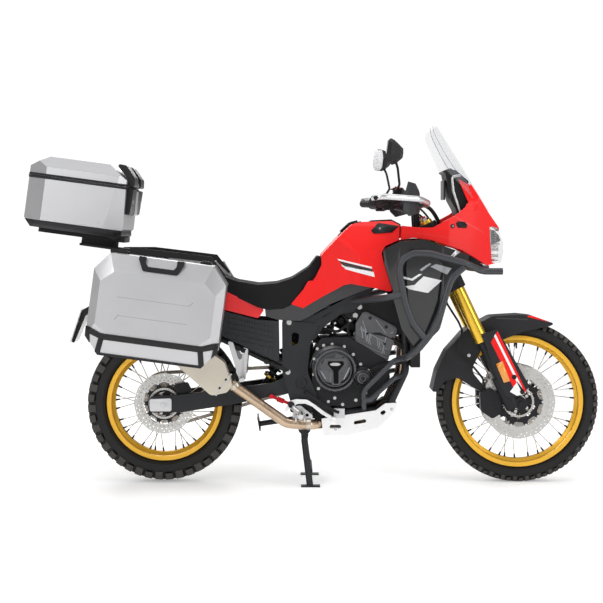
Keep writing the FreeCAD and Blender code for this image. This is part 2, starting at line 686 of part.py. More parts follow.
clutchCover = roundCover("ClutchCover", size("clutchRadius"), size("coverDepth"), "Sizes.clutchXAt",
                         "Sizes.clutchZ")
pumpCover = roundCover("PumpCover", size("waterPumpRadius"), size("coverDepth") + 6, "Sizes.waterPumpXAt",
                       "Sizes.waterPumpZ")
clutchRib = slab("ClutchRib", "side", [(-9, -8, 6), (9, -8, 6), (16, 56, 10), (-16, 56, 10)],
                 engineHalf, "Sizes.coverDepth + 4", mapped=None)
clutchRibs = []
for angle in (30, 150, 270):
    turnedRib = doc.addObject("Part::Feature", "ClutchRib%d" % angle)
    doc.recompute()
    turnedRib.Shape = clutchRib.Shape.rotated(Vector(0, 0, 0), Vector(0, 1, 0), angle)
    place(turnedRib, "Sizes.clutchXAt", "0", "Sizes.clutchZ")
    clutchRibs.append(turnedRib)
generatorCover = roundCover("GeneratorCover", size("generatorRadius"), size("coverDepth") - 8,
                            "Sizes.generatorXAt", "Sizes.generatorZ")
rightCovers = mirror("RightCovers", fused("Covers", [clutchCover, pumpCover] + clutchRibs))
keep("engine_covers", group("EngineCovers", [rightCovers, generatorCover]))

radiatorCore = slab("RadiatorCore", "side", [(400, 500, 4), (441, 500, 4), (441, 684, 4), (391, 684, 4),
                                                (391, 610, 4), (400, 594, 4)], "-150", "300")
slots = []
for level in range(516, 670, 12):
    slots.append(slab("RadiatorSlot%d" % level, "side", [(438, level), (460, level), (460, level + 7),
                                                         (438, level + 7)], "-138", "276"))
keep("radiator", without("Radiator", radiatorCore, [frame] + slots))

# Bash plate: folded aluminium tray under the engine.
skidOuter = slab("SkidOuter", "side", [(26, 282, 6), (34, 212, 10), (135, 212, 30), (266, 242, 30),
                                       (333, 306, 20), (350, 349, 6), (296, 347, 6), (255, 317, 20),
                                       (116, 296, 20)], "-128", "256",
                 [[(61, 241, 7), (109, 241, 7), (109, 256, 7), (61, 256, 7)],
                  [(164, 257, 7), (216, 266, 7), (214, 281, 7), (162, 271, 7)],
                  [(282, 295, 7), (300, 308, 7), (290, 320, 7), (272, 308, 7)]])
skidInner = slab("SkidInner", "side", [(20, 300, 0), (20, 216, 0), (135, 216, 30), (264, 246, 30),
                                       (330, 309, 20), (352, 356, 0), (250, 400, 0)], "-124", "248")
keep("skid_plate", without("SkidPlate", skidOuter, [skidInner]))

# Exhaust: two header pipes, a collector under the engine, a link pipe and the silencer.
headerPipes = []
for side in (1, -1):
    path = [(320, side * 42, 606), (378, side * 42, 596), (366, side * 40, 450), (316, side * 36, 330),
            (236, side * 26, 266), (140, side * 8, 256)]
    headerPipes.append(rod(stationed(path), 19, 70))
linkPipe = rod(stationed([(190, 0, 256), (84, -16, 256), (0, -124, 258), (-36, -156, 260), (-122, -156, 268),
                          (-352, -166, 432)]), 22, 70)
exhaustShape = solidOf("ExhaustPipes", joinShapes(headerPipes + [linkPipe]))
exhaust = keep("exhaust_pipes", without("Exhaust", exhaustShape, [engine, head]))
silencerCorners = [(-345, 432, 24), (-368, 402, 24), (-434, 388, 30), (-700, 622, 20), (-632, 704, 20),
                   (-380, 528, 30)]
silencer = slab("Silencer", "side", silencerCorners, "-212", "84")
keep("silencer", without("SilencerBox", silencer, [exhaust]))

# Tank: side, plan and front outlines meet in one saddle-shaped shell.
tankSide = slab("TankSide", "side", [
    (-98, 760, 4), (-52, 750, 10), (118, 846, 20), (148, 853, 20), (243, 836, 20), (310, 820, 10), (321, 827, 6),
    (287, 931, 30), (276, 981, 20), (292, 1010, 20), (352, 1036, 4), (356, 1098, 6), (324, 1116, 10),
    (199, 1112, 30), (153, 1101, 30), (107, 1058, 60), (25, 972, 30), (27, 931, 20), (1, 878, 30)],
    "-Sizes.tankHalfWidth", "2 * Sizes.tankHalfWidth")
tankPlan = slab("TankPlan", "plan", [(-110, -110, 20), (40, -140, 60), (180, -190, 80), (370, -196, 10),
                                     (370, 196, 10), (180, 190, 80), (40, 140, 60), (-110, 110, 20)],
                "700", "450")
tankFront = slab("TankFront", "front", [(-196, 700, 0), (196, 700, 0), (196, 960, 60), (120, 1116, 50),
                                        (-120, 1116, 50), (-196, 960, 60)], "-300", "1500")
tunnel = slab("TankTunnel", "side", [(-200, 600, 0), (-200, 806, 0), (60, 866, 30), (260, 950, 30),
                                     (420, 1010, 0), (420, 600, 0)], "-Sizes.tunnelHalf", "2 * Sizes.tunnelHalf")
tank = keep("tank", without("Tank", common("TankShell", [tankSide, tankPlan, tankFront]), [tunnel]))

# Seat: one long stepped cushion.
seatSide = slab("SeatSide", "side", [
    (30, 962, 6), (9, 967, 10), (-26, 921, 60), (-98, 874, 80), (-164, 853, 80), (-242, 847, 80),
    (-331, 862, 60), (-420, 896, 40), (-536, 908, 20), (-560, 896, 12), (-558, 862, 6), (-369, 812, 60),
    (-240, 752, 30), (-200, 742, 20), (-110, 750, 10), (-96, 760, 6), (3, 876, 30), (28, 926, 10)],
    "-Sizes.seatHalfWidth", "2 * Sizes.seatHalfWidth")
seatPlan = slab("SeatPlan", "plan", [(60, -95, 30), (-60, -130, 60), (-220, -150, 60), (-420, -135, 60),
                                     (-610, -110, 50), (-610, 110, 50), (-420, 135, 60), (-220, 150, 60),
                                     (-60, 130, 60), (60, 95, 30)], "700", "300")
seatTunnel = slab("SeatTunnel", "side", [(-700, 700, 0), (-700, 908, 0), (-560, 886, 20), (-380, 859, 20),
                                         (-60, 794.8, 20), (60, 770, 0), (60, 700, 0)],
                  "-Sizes.tunnelHalf", "2 * Sizes.tunnelHalf")
seat = keep("seat", without("Seat", common("SeatBlock", [seatSide, seatPlan]), [tank, seatTunnel]))

# Black strips between the spars and the tank and seat.
sideStrip = slab("SideStrip", "side", [
    (-208, 714, 6), (-160, 700, 10), (-128, 697, 10), (-63, 695, 20), (-23, 714, 30), (63, 765, 40), (174, 812, 40),
    (246, 836, 4), (148, 856, 20), (118, 850, 20), (-50, 755, 14), (-100, 764, 8), (-110, 757, 6),
    (-138, 745, 20), (-212, 748, 4)], "Sizes.plateOffset + Sizes.plateThickness + Sizes.faceGap",
    "Sizes.stripThickness")
keep("side_strips", without("SideStrips", pair("StripPair", sideStrip), [tank, seat]))

# Side covers and the red tail panels under the seat.
tailPanel = slab("TailPanel", "side", [(-216, 740, 4), (-240, 706, 10), (-400, 747, 30), (-660, 800, 20),
                                       (-700, 850, 16), (-640, 872, 16), (-590, 863, 10), (-369, 816, 60),
                                       (-240, 756, 20)], "Sizes.plateOffset + 10", "14")
keep("tail_panels", without("TailPanels", pair("TailPair", tailPanel), [seat]))
sideCover = slab("SideCover", "side", [(-400, 740, 10), (-245, 700, 10), (-155, 694, 10), (-152, 519, 10),
                                       (-397, 634, 16)], "Sizes.plateOffset + 10", "14")
coverGrooves = [slab("CoverGroove%d" % index, "side", [
    (-380, 716 - index * 22), (-178, 672 - index * 22), (-178, 668 - index * 22), (-380, 712 - index * 22)],
    "Sizes.plateOffset + 22", "10") for index in range(5)]
keep("side_covers", pair("SideCovers", without("RibbedCover", sideCover, coverGrooves)))

# Front fairing: beak round the lamp, open behind for the yokes.
fairingSide = slab("FairingSide", "side", [
    (357, 1036, 4), (360, 1096, 4), (436, 1088, 30), (492, 1088, 30), (593, 1143, 30), (640, 1180, 20),
    (598, 1288, 6), (612, 1294, 6), (661, 1271, 20), (698, 1211, 30), (743, 1143, 30), (786, 1087, 10),
    (772, 937, 10), (730, 927, 10), (616, 994, 40), (549, 1014, 60), (482, 1036, 60), (408, 1045, 30)],
    "-210", "420")
fairingPlan = slab("FairingPlan", "plan", [(350, -196, 4), (450, -205, 60), (560, -186, 60), (700, -110, 60),
                                           (800, -44, 30), (800, 44, 30), (700, 110, 60), (560, 186, 60),
                                           (450, 205, 60), (350, 196, 4)], "900", "450")
fairingFront = slab("FairingFront", "front", [(-210, 900, 0), (210, 900, 0), (210, 1090, 40), (120, 1200, 40),
                                              (96, 1300, 20), (-96, 1300, 20), (-120, 1200, 40),
                                              (-210, 1090, 40)], "0", "1500")
yokeRoom = slab("YokeRoom", "plan", [(340, -166, 0), (520, -166, 30), (650, -128, 30), (668, -60, 30),
                                     (668, 60, 30), (650, 128, 30), (520, 166, 30), (340, 166, 0)], "900", "450")
lampSide = slab("LampSide", "side", [(738, 1096, 10), (778, 1086, 12), (803, 1032, 30), (806, 987, 30),
                                     (794, 937, 10), (752, 937, 10)], "-82", "164")
lampPlan = slab("LampPlan", "plan", [(700, -82, 20), (770, -82, 40), (808, -40, 40), (808, 40, 40),
                                     (770, 82, 40), (700, 82, 20)], "900", "300")
lamp = keep("headlight", common("Headlight", [lampSide, lampPlan]))
fairing = keep("fairing", without("Fairing", common("FairingShell", [fairingSide, fairingPlan, fairingFront]),
                                  [yokeRoom, lamp]))

shroudSide = slab("ShroudSide", "side", [
    (349, 1030, 6), (448, 1040, 30), (596, 990, 60), (712, 944, 10), (706, 928, 10), (629, 928, 30),
    (563, 831, 60), (514, 665, 40), (452, 604, 20), (419, 577, 10), (357, 665, 40), (324, 789, 40),
    (322, 827, 4), (288, 932, 30), (283, 996, 20)], "168", "86")
shroudPlan = slab("ShroudPlan", "plan", [(270, 168, 0), (270, 200, 20), (380, 240, 60), (520, 236, 60),
                                         (640, 170, 40), (730, 110, 20), (700, 96, 10), (610, 150, 40),
                                         (500, 188, 40), (420, 176, 10)], "550", "520")
shroud = common("Shroud", [shroudSide, shroudPlan])
keep("shrouds", without("Shrouds", pair("ShroudPair", shroud), [tank, fairing]))

cockpit = slab("Cockpit", "side", [(552, 1322, 6), (574, 1342, 8), (618, 1300, 10), (630, 1268, 10),
                                   (642, 1196, 10), (660, 1150, 10), (646, 1118, 10), (612, 1118, 6),
                                   (596, 1166, 10), (576, 1202, 10)], "-92", "184")
cockpitStay = slab("CockpitStay", "side", [(600, 1196, 0), (674, 1196, 0), (674, 1236, 0), (600, 1236, 0)],
                   "-40", "80")
cockpitBody = keep("cockpit", without("CockpitTower", fused("CockpitBlock", [cockpit, cockpitStay]), [fairing]))


def screenShape():
    """Clear screen: part of an inclined round shell, cut to its outline."""
    foot = Vector(754 + noseShift, 0, 1153)
    top = Vector(527 + noseShift, 0, 1525)
    half = size("screenHalfWidth")
    radius = 1.12 * half
    lean = (top - foot).normalize()
    back = Vector(-lean.z, 0, lean.x)
    axisFoot = foot + back * radius - lean * 200
    shell = Part.makeCylinder(radius, 900, axisFoot, lean)
    shell = shell.cut(Part.makeCylinder(radius - size("screenThickness"), 900, axisFoot, lean))
    outline = Part.Wire([edge.toShape() for edge in roundedEdges([
        (-half * 0.62, 1160, 30), (-half * 0.9, 1330, 60), (-half * 0.8, 1500, 60), (0, 1530, 200),
        (half * 0.8, 1500, 60), (half * 0.9, 1330, 60), (half * 0.62, 1160, 30)])])
    outline.transformShape(Matrix(0, 0, 1, 400 + noseShift, 1, 0, 0, 0, 0, 1, 0, 0, 0, 0, 0, 1))
    window = Part.Face(outline).extrude(Vector(420, 0, 0))
    return shell.common(window)


screen = solidOf("ScreenSheet", screenShape())
keep("windscreen", without("Windscreen", screen, [fairing]))

screenArms = solidOf("ScreenArmRods", Part.makeCompound(
    bothSides([(618, 97, 1146), (586, 97, 1240), (580, 97, 1304), (620, 97, 1309)], 6, 14)))
keep("screen_arms", without("ScreenArms", screenArms, [screen, cockpitBody, fairing]))

tankTrim = slab("TankTrim", "side", [(232, 1108, 4), (238, 1119, 6), (326, 1123, 10), (366, 1102, 8),
                                     (364, 1064, 8), (330, 1060, 6), (240, 1086, 6)], "-58", "116")
keep("tank_trim", without("TankTrimBlock", tankTrim, [tank]))

# Crash bars round the shrouds, the auxiliary lamp stubs, and the lower engine guards.
spread = size("crashSpread")
bar = size("crashRadius")
loopRods = bothSides([(448, spread - 22, 634), (396, spread, 700), (367, spread, 779), (340, spread, 912),
                      (351, spread, 955), (400, spread, 984), (470, spread, 982), (621, spread - 20, 939),
                      (692, spread - 76, 906), (778, spread - 76, 906)], bar, 60)
lowRods = bothSides([(612, spread - 20, 926), (556, spread - 10, 880), (510, spread, 733),
                     (470, spread - 20, 645), (424, spread - 14, 590), (380, spread - 40, 552), (364, 160, 540),
                     (383, 100, 536)], bar, 80)
tieRods = bothSides([(150, 107, 774), (300, spread - 24, 800), (362, spread - 2, 818)], bar, 60)
guardTube = size("guardTubeRadius")
engineRods = bothSides([(366, 160, 538), (330, 174, 532), (200, 186, 405), (204, 158, 345), (206, 106, 316)],
                       guardTube, 40)
braceRods = bothSides([(372, 106, 466), (332, 152, 456), (226, 176, 366), (201, 172, 372)], guardTube, 40)
crashShape = solidOf("CrashRods", Part.makeCompound([
    joinShapes([loopRods[index], lowRods[index], tieRods[index], engineRods[index], braceRods[index]])
    for index in (0, 1)]))
keep("crash_bars", without("CrashBars", crashShape, [frame]))

# Luggage rack: plate under the top case, hoops for the side cases, stays to the seat rails.


def inCaseFrame(item, atX, atY, atZ):
    place(item, atX, atY, atZ)
    tilt(item, "Sizes.caseTilt")


rackPlate = slab("RackPlate", "plan", [(-6, -70, 30), (120, -92, 40), (345, -92, 20), (345, 92, 20),
                                       (120, 92, 40), (-6, 70, 30)], "-58", "9.7",
                 [[(60, -50, 10), (220, -50, 10), (220, 50, 10), (60, 50, 10)]], None)
inCaseFrame(rackPlate, "Sizes.topCaseX", "0", "Sizes.topCaseZ")
rackTube = size("rackTubeRadius")
hoopY = size("pannierInner") - size("faceGap") - rackTube
rackRods = bothSides([(-596, 92, 880), (-650, 84, 960), (-735, 84, 976)], rackTube, 60)
stayRods = bothSides([(-520, 100, 868), (-520, hoopY, 882)], rackTube)
stayRods += bothSides([(-700, 84, 970), (-700, hoopY, 914)], rackTube)
hoopFront = bothSides([(-641, hoopY, 904), (-440, hoopY, 868), (-458, hoopY, 610), (-640, hoopY, 634)],
                      rackTube, 50)
hoopRear = bothSides([(-641, hoopY, 904), (-842, hoopY, 940), (-800, hoopY, 655), (-640, hoopY, 634)],
                     rackTube, 50)
rackShape = solidOf("RackRods", joinShapes(rackRods + stayRods + hoopFront + hoopRear))
casePlate = slab("CasePlate", "plan", [(-180, -120, 30), (190, -120, 30), (190, 120, 30), (-180, 120, 30)],
                 "-22", "21.7", mapped=None)
caseLock = slab("CaseLock", "plan", [(0, -60, 20), (150, -60, 20), (150, 60, 20), (0, 60, 20)], "-50", "30",
                mapped=None)
caseBase = fused("CaseBase", [casePlate, caseLock])
inCaseFrame(caseBase, "Sizes.topCaseX", "0", "Sizes.topCaseZ")
keep("luggage_rack", without("LuggageRack", fused("RackWhole", [rackPlate, caseBase, rackShape]), [frame]))


def inset(corners, distance):
    """Convex outline drawn in by one distance on every side."""
    count = len(corners)
    area = sum(corners[i - 1][0] * corners[i][1] - corners[i][0] * corners[i - 1][1] for i in range(count))
    turn = 1 if area > 0 else -1
    lines = []
    for index in range(count):
        start = Vector(corners[index][0], corners[index][1], 0)
        run = (Vector(corners[(index + 1) % count][0], corners[(index + 1) % count][1], 0) - start).normalize()
        inward = Vector(-run.y, run.x, 0) * turn
        lines.append((start + inward * distance, run))
    moved = []
    for index in range(count):
        (pointA, runA), (pointB, runB) = lines[index - 1], lines[index]
        cross = runA.x * runB.y - runA.y * runB.x
        gap = pointB - pointA
        share = (gap.x * runB.y - gap.y * runB.x) / cross
        moved.append((pointA.x + runA.x * share, pointA.y + runA.y * share))
    return moved


def caseBlock(name, sideCorners, planCorners, frontCorners, drawIn):
    """Case block where a side, a plan and a front outline meet, drawn in for the hollow."""
    half = size("topCaseWidth")
    outlines = (("side", sideCorners), ("plan", planCorners), ("front", frontCorners))
    blocks = [slab(name + view, view, inset(corners, drawIn) if drawIn else corners, str(-half), str(2 * half),
                   mapped=None) for view, corners in outlines]
    return common(name, blocks)


wall = size("caseWall")
halfCase = size("topCaseWidth") / 2
back = -size("topCaseLength") / 2
nose = size("topCaseLength") / 2
low = size("topCaseChamfer")
seam = size("topCaseBody")
lean = size("topCaseLean")
lidLow = seam + 0.4
lidHigh = lidLow + size("topCaseLid")
shoulder = lidHigh - size("topCaseLidChamfer")
cutX = size("topCaseCutX")
cutY = size("topCaseCutY")
casePlan = [(back + cutX, -halfCase), (nose - cutX, -halfCase), (nose, -halfCase + cutY), (nose, halfCase - cutY),
            (nose - cutX, halfCase), (back + cutX, halfCase), (back, halfCase - cutY), (back, -halfCase + cutY)]
bodySide = [(back, low), (back + low, 0), (nose - low, 0), (nose, low), (nose - lean, seam), (back, seam)]
bodyFront = [(-halfCase, low), (-halfCase + low, 0), (halfCase - low, 0), (halfCase, low), (halfCase, seam),
             (-halfCase, seam)]
lidSide = [(back, lidLow), (nose - lean, lidLow), (nose - lean, shoulder - 12), (nose - lean - 78, lidHigh),
           (back + 78, lidHigh), (back, shoulder)]
lidFront = [(-halfCase, lidLow), (halfCase, lidLow), (halfCase, shoulder), (halfCase - 60, lidHigh),
            (-halfCase + 60, lidHigh), (-halfCase, shoulder)]


def openedUp(corners, level, reach):
    """Outline with its points on one level moved past it, so that the hollow is open there."""
    return [(u, v + reach) if abs(v - level) < wall + 0.01 else (u, v) for u, v in corners]


caseRoom = caseBlock("CaseRoom", openedUp(inset(bodySide, wall), seam - wall, 10), inset(casePlan, wall),
                     openedUp(inset(bodyFront, wall), seam - wall, 10), 0)
hingeX = back - size("lidHingeReach")
hingeZ = seam + 0.2
pinRadius = size("hingePinRadius")


def caseHinge(start, length, reach):
    """Knuckle on the lid's axis with the leaf that joins it to its half of the case."""
    knuckle = Part.makeCylinder(pinRadius, length, Vector(hingeX, start, hingeZ), Vector(0, 1, 0))
    corner = Vector(hingeX, start, min(hingeZ, hingeZ + reach))
    leaf = Part.makeBox(size("lidHingeReach") + 1, length, abs(reach), corner)
    return [knuckle, leaf]


bodyHinges = solidOf("BodyHinges", Part.makeCompound(
    [joinShapes(caseHinge(y, 30, -24)) for y in (-165, -99, 69, 135)]))
lidHinges = solidOf("LidHinges", Part.makeCompound(
    [joinShapes(caseHinge(y, 30, 22)) for y in (-132, 102)]))
latchBody = slab("LatchBody", "side", [(nose - 8, 92, 8), (nose + 9, 96, 8), (nose - lean + 26, seam - 3, 8),
                                       (nose - lean - 1, seam - 3, 2)], "-46", "92", mapped=None)
latchLid = slab("LatchLid", "side", [(nose - lean - 1, lidLow + 3, 2), (nose - lean + 26, lidLow + 3, 8),
                                     (nose - lean + 18, shoulder - 8, 10), (nose - lean - 1, shoulder - 14, 2)],
                "-52", "104", mapped=None)
bodyShell = without("TopCaseShell", caseBlock("CaseOuter", bodySide, casePlan, bodyFront, 0), [caseRoom])
bodyCase = fused("TopCaseBody", [bodyShell, bodyHinges, without("LatchBodyBlock", latchBody, [caseRoom])])
inCaseFrame(bodyCase, "Sizes.topCaseX", "0", "Sizes.topCaseZ")
keep("top_case_body", bodyCase)
lidRoom = caseBlock("LidRoom", openedUp(inset(lidSide, wall), lidLow + wall, -10), inset(casePlan, wall),
                    openedUp(inset(lidFront, wall), lidLow + wall, -10), 0)
lidShell = without("TopCaseLidShell", caseBlock("LidOuter", lidSide, casePlan, lidFront, 0), [lidRoom])
lidCase = fused("TopCaseLid", [lidShell, lidHinges, without("LatchLidBlock", latchLid, [lidRoom])])
inCaseFrame(lidCase, "Sizes.topCaseX", "0", "Sizes.topCaseZ")
keep("top_case_lid", lidCase)


def octagon(inset):
    halfLength = size("pannierLength") / 2 - inset
    halfHeight = size("pannierHeight") / 2 - inset
    cutX = size("pannierChamferX")
    cutZ = size("pannierChamferZ")
    return [(-halfLength + cutX, -halfHeight), (halfLength - cutX, -halfHeight), (halfLength, -halfHeight + cutZ),
            (halfLength, halfHeight - cutZ), (halfLength - cutX, halfHeight), (-halfLength + cutX, halfHeight),
            (-halfLength, halfHeight - cutZ), (-halfLength, -halfHeight + cutZ)]


def octagonLoft(name, inset, start, crownEnd):
    """Octagonal block whose outer end draws in to the flat face."""
    base = octagon(inset)
    halfLength = size("pannierLength") / 2
    face = [(u * (halfLength - 34) / halfLength, v * 0.62 + 6) for u, v in base]
    wires = []
    for outline, depth in ((base, start), (base, size("pannierInner") + size("pannierTray")
                                           + size("pannierShell") - inset), (face, crownEnd)):
        wires.append(Part.makePolygon([Vector(u, depth, v) for u, v in outline + outline[:1]]))
    lower = Part.makeLoft(wires[:2], True, True)
    upper = Part.makeLoft(wires[1:], True, True)
    return lower.fuse(upper).removeSplitter()


trayStart = "Sizes.pannierInner"
trayOuter = slab("TrayOuter", "side", octagon(0), trayStart, "Sizes.pannierTray", mapped=None)
trayInner = slab("TrayInner", "side", octagon(wall), trayStart + " + Sizes.caseWall", "Sizes.pannierTray",
                 mapped=None)
tray = without("PannierTray", trayOuter, [trayInner])
shellStart = size("pannierInner") + size("pannierTray") + 0.4
crown = size("pannierInner") + size("pannierTray") + size("pannierShell") + size("pannierCrown")
shellShape = octagonLoft("Shell", 0, shellStart, crown).cut(octagonLoft("ShellRoom", wall, shellStart - 5,
                                                                        crown - wall))
pannierHingeZ = -size("pannierHeight") / 2 - size("lidHingeReach")
pannierHingeY = size("pannierInner") + size("pannierTray") + 0.2


def pannierHinge(start, length, reach):
    """Knuckle under the case on the lid's axis, with its leaf on one half of the case."""
    knuckle = Part.makeCylinder(pinRadius, length, Vector(start, pannierHingeY, pannierHingeZ), Vector(1, 0, 0))
    low = min(pannierHingeY, pannierHingeY + reach)
    leaf = Part.makeBox(length, abs(reach), size("lidHingeReach") + 1, Vector(start, low, pannierHingeZ))
    return joinShapes([knuckle, leaf])


trayHinges = solidOf("TrayHinges", Part.makeCompound([pannierHinge(x, 26, -20) for x in (-150, -92, 66, 124)]))
shellHinges = [pannierHinge(x, 26, 20) for x in (-121, 95)]
crest = size("pannierHeight") / 2
gripY = shellStart + 96
grip = rod([(-84, gripY, crest - 3), (-84, gripY, crest + 24), (84, gripY, crest + 24), (84, gripY, crest - 3)],
           7, 16)
shell = solidOf("PannierShell", joinShapes([shellShape, grip] + shellHinges))
trayWhole = fused("PannierTrayWhole", [tray, trayHinges])
for name, item in (("body", trayWhole), ("lid", shell)):
    inCaseFrame(item, "Sizes.pannierX", "0", "Sizes.pannierZ")
    keep("pannier_%s_left" % name, item)
    keep("pannier_%s_right" % name, mirror("Pannier%sRight" % name.title(), item))

# Rear mudguard with the number plate holder, plate, tail lamp.
mudguard = slab("Mudguard", "side", [
    (-584, 800, 10), (-584, 874, 4), (-650, 874, 20), (-700, 846, 30), (-900, 770, 40), (-965, 752, 20),
    (-990, 735, 10), (-1036, 600, 6), (-1024, 597, 6), (-972, 722, 20), (-900, 738, 40), (-700, 806, 30),
    (-600, 770, 10)], "-70", "140")
keep("rear_mudguard", without("RearMudguard", mudguard, [frame]))
plate = slab("NumberPlate", "side", [(-990.5, 740, 1), (-993.5, 739, 1), (-1042, 600, 1), (-1037, 599, 1)],
             "-Sizes.plateHalfWidth", "2 * Sizes.plateHalfWidth")
keep("number_plate", without("NumberPlateSheet", plate, [mudguard]))
lampBlock = slab("TailLamp", "side", [(-700, 846.3, 6), (-690, 884, 14), (-760, 880, 10), (-768, 850, 10),
                                      (-745, 829.5, 2)], "-60", "120")
keep("tail_lamp", without("TailLampBlock", lampBlock, [mudguard]))

shock = solidOf("ShockUnit", post(Vector(station(-205), 0, 418), Vector(station(-70), 0, 640), 30))
keep("shock", without("Shock", shock, [swingarm, frame]))
caliperRear = slab("RearCaliper", "side", [(-600, 420, 10), (-540, 432, 10), (-520, 392, 10), (-560, 378, 10),
                                           (-590, 384, 6)], "-92.7", "40")
discRoom = turned("RearDiscRoom", [(0, -10), (140, -10), (140, 10), (0, 10)], "Sizes.rearAxleX",
                  "-Sizes.rearDiscInset - Sizes.discThickness / 2", "Sizes.rearAxleZ")
keep("rear_caliper", without("RearCaliperBody", caliperRear, [discRoom, swingarm]))

# Rider's pegs and pedals, passenger pegs.
plateFace = size("plateOffset") + size("plateThickness") + size("faceGap")
pegs = bothSides([(-92, plateFace, 352), (-92, 165, 330), (-62, 190, 310), (-62, 262, 306)], 11, 20)
pedal = rod(stationed([(-40, -plateFace, 395), (-40, -154, 395), (56, -166, 330), (96, -200, 318)]), 7, 20)
lever = rod(stationed([(-36, plateFace, 395), (-36, 150, 395), (40, 158, 340), (92, 196, 316)]), 7, 20)
footShape = solidOf("FootRods", Part.makeCompound(pegs + [pedal, lever]))
passengerBracket = slab("PassengerBracket", "side", [(-370, 612, 6), (-346, 604, 6), (-312, 500, 10),
                                                     (-304, 584, 6), (-282, 576, 6), (-292, 450, 10),
                                                     (-318, 440, 10)], "127.2", "9.8")
passengerPeg = slab("PassengerPeg", "side", [(-318, 444, 6), (-296, 448, 6), (-294, 462, 6), (-318, 460, 6)],
                    "137", "80")
passengerPegs = pair("PassengerPegs", fused("PassengerPegSide", [passengerBracket, passengerPeg]))
keep("footrests", without("Footrests", group("FootrestSet", [footShape, passengerPegs]), [frame]))

# Steering assembly.


def onStem(item, height):
    """Place an item modelled about the steering axis at a height above the floor."""
    item.Placement = Placement(alongStem(height), Rotation(Vector(0, 1, 0), -size("rake")))


yokeCorners = [(-34, -40, 20), (-34, 40, 20), (-6, 138, 20), (50, 142, 24), (68, 110, 24), (44, 40, 30),
               (44, -40, 30), (68, -110, 24), (50, -142, 24), (-6, -138, 20)]
upperYoke = slab("UpperYoke", "plan", yokeCorners, "-Sizes.yokeDepth / 2", "Sizes.yokeDepth", mapped=None)
onStem(upperYoke, size("upperYokeZ"))
lowerYoke = slab("LowerYoke", "plan", yokeCorners, "-Sizes.lowerYokeDepth / 2", "Sizes.lowerYokeDepth",
                 mapped=None)
onStem(lowerYoke, size("lowerYokeZ"))
stem = solidOf("Stem", post(alongStem(size("lowerYokeZ")), alongStem(size("upperYokeZ")), size("stemRadius")))
tubes = solidOf("ForkOuterTubes", Part.makeCompound([
    post(alongFork(size("outerTubeEndZ"), side), alongFork(size("forkTopZ"), side), size("outerTubeRadius"))
    for side in (1, -1)]))
keep("yokes", without("Yokes", fused("YokesWhole", [upperYoke, lowerYoke, stem]), [tubes]))
stanchions = solidOf("Stanchions", Part.makeCompound([
    post(alongFork(size("lowerLegTopZ"), side), alongFork(size("outerTubeEndZ"), side), size("stanchionRadius"))
    for side in (1, -1)]))
keep("fork_tubes", fused("ForkTubes", [tubes, stanchions]))
legShapes = []
for side in (1, -1):
    leg = post(alongFork(size("frontAxleZ") - 20, side), alongFork(size("lowerLegTopZ"), side),
               size("lowerLegRadius"))
    clamp = Part.makeCylinder(27, 52, frontAxle + Vector(0, side * size("forkSpread") - 26, 0), Vector(0, 1, 0))
    legShapes.append(leg.fuse(clamp))
axleBar = Part.makeCylinder(size("axleRadius"), 2 * size("forkSpread") + 70,
                            frontAxle - Vector(0, size("forkSpread") + 35, 0), Vector(0, 1, 0))
legs = solidOf("ForkLowers", joinShapes(legShapes + [axleBar]))
caliperBlock = slab("FrontCaliper", "side", [(700, 392, 14), (704, 310, 14), (752, 276, 14), (792, 300, 14),
                                             (786, 380, 14), (750, 404, 14)], "45", "45")
frontDiscRoom = turned("FrontDiscRoom", [(0, -7.5), (163, -7.5), (163, 7.5), (0, 7.5)], axleX,
                       "Sizes.frontDiscInset + Sizes.discThickness / 2", "Sizes.frontAxleZ")
caliper = without("FrontCaliperBody", caliperBlock, [frontDiscRoom])
caliperPair = pair("FrontCaliperPair", caliper)
keep("fork_lowers", fused("ForkLowersWhole", [legs, caliperPair]))
guard = slab("ForkGuard", "side", [(699, 640, 10), (766, 660, 10), (898, 428, 10), (884, 388, 10),
                                   (806, 372, 10), (770, 440, 20)],
             "Sizes.forkSpread + Sizes.lowerLegRadius + Sizes.faceGap", "6")
keep("fork_guards", without("ForkGuards", pair("ForkGuardPair", guard), [legs]))
fenderBlock = slab("FenderBlock", "side", [
    (498, 389, 6), (519, 477, 60), (560, 560, 60), (640, 650, 60), (752, 710, 60), (872, 717, 60), (929, 711, 30),
    (1020, 679, 6), (999, 668, 10), (886, 645, 60), (801, 611, 30), (724, 600, 60), (664, 480, 40),
    (724, 407, 6), (700, 392, 6), (604, 449, 20), (554, 435, 20), (520, 389, 6)], "-72", "144")
wheelRoom = turned("WheelRoom", [(0, -58), (356, -58), (356, 58), (0, 58)], axleX, "0", "Sizes.frontAxleZ")
fenderHalf = 72.0
fenderArm = slab("FenderArm", "side", [(772, 420, 12), (812, 432, 12), (724, 640, 12), (682, 640, 12)],
                 str(fenderHalf), "3.7")
fenderWhole = fused("FenderWhole", [fenderBlock, pair("FenderArms", fenderArm)])
fender = keep("front_mudguard", without("FrontMudguard", fenderWhole, [wheelRoom, tubes, legs]))

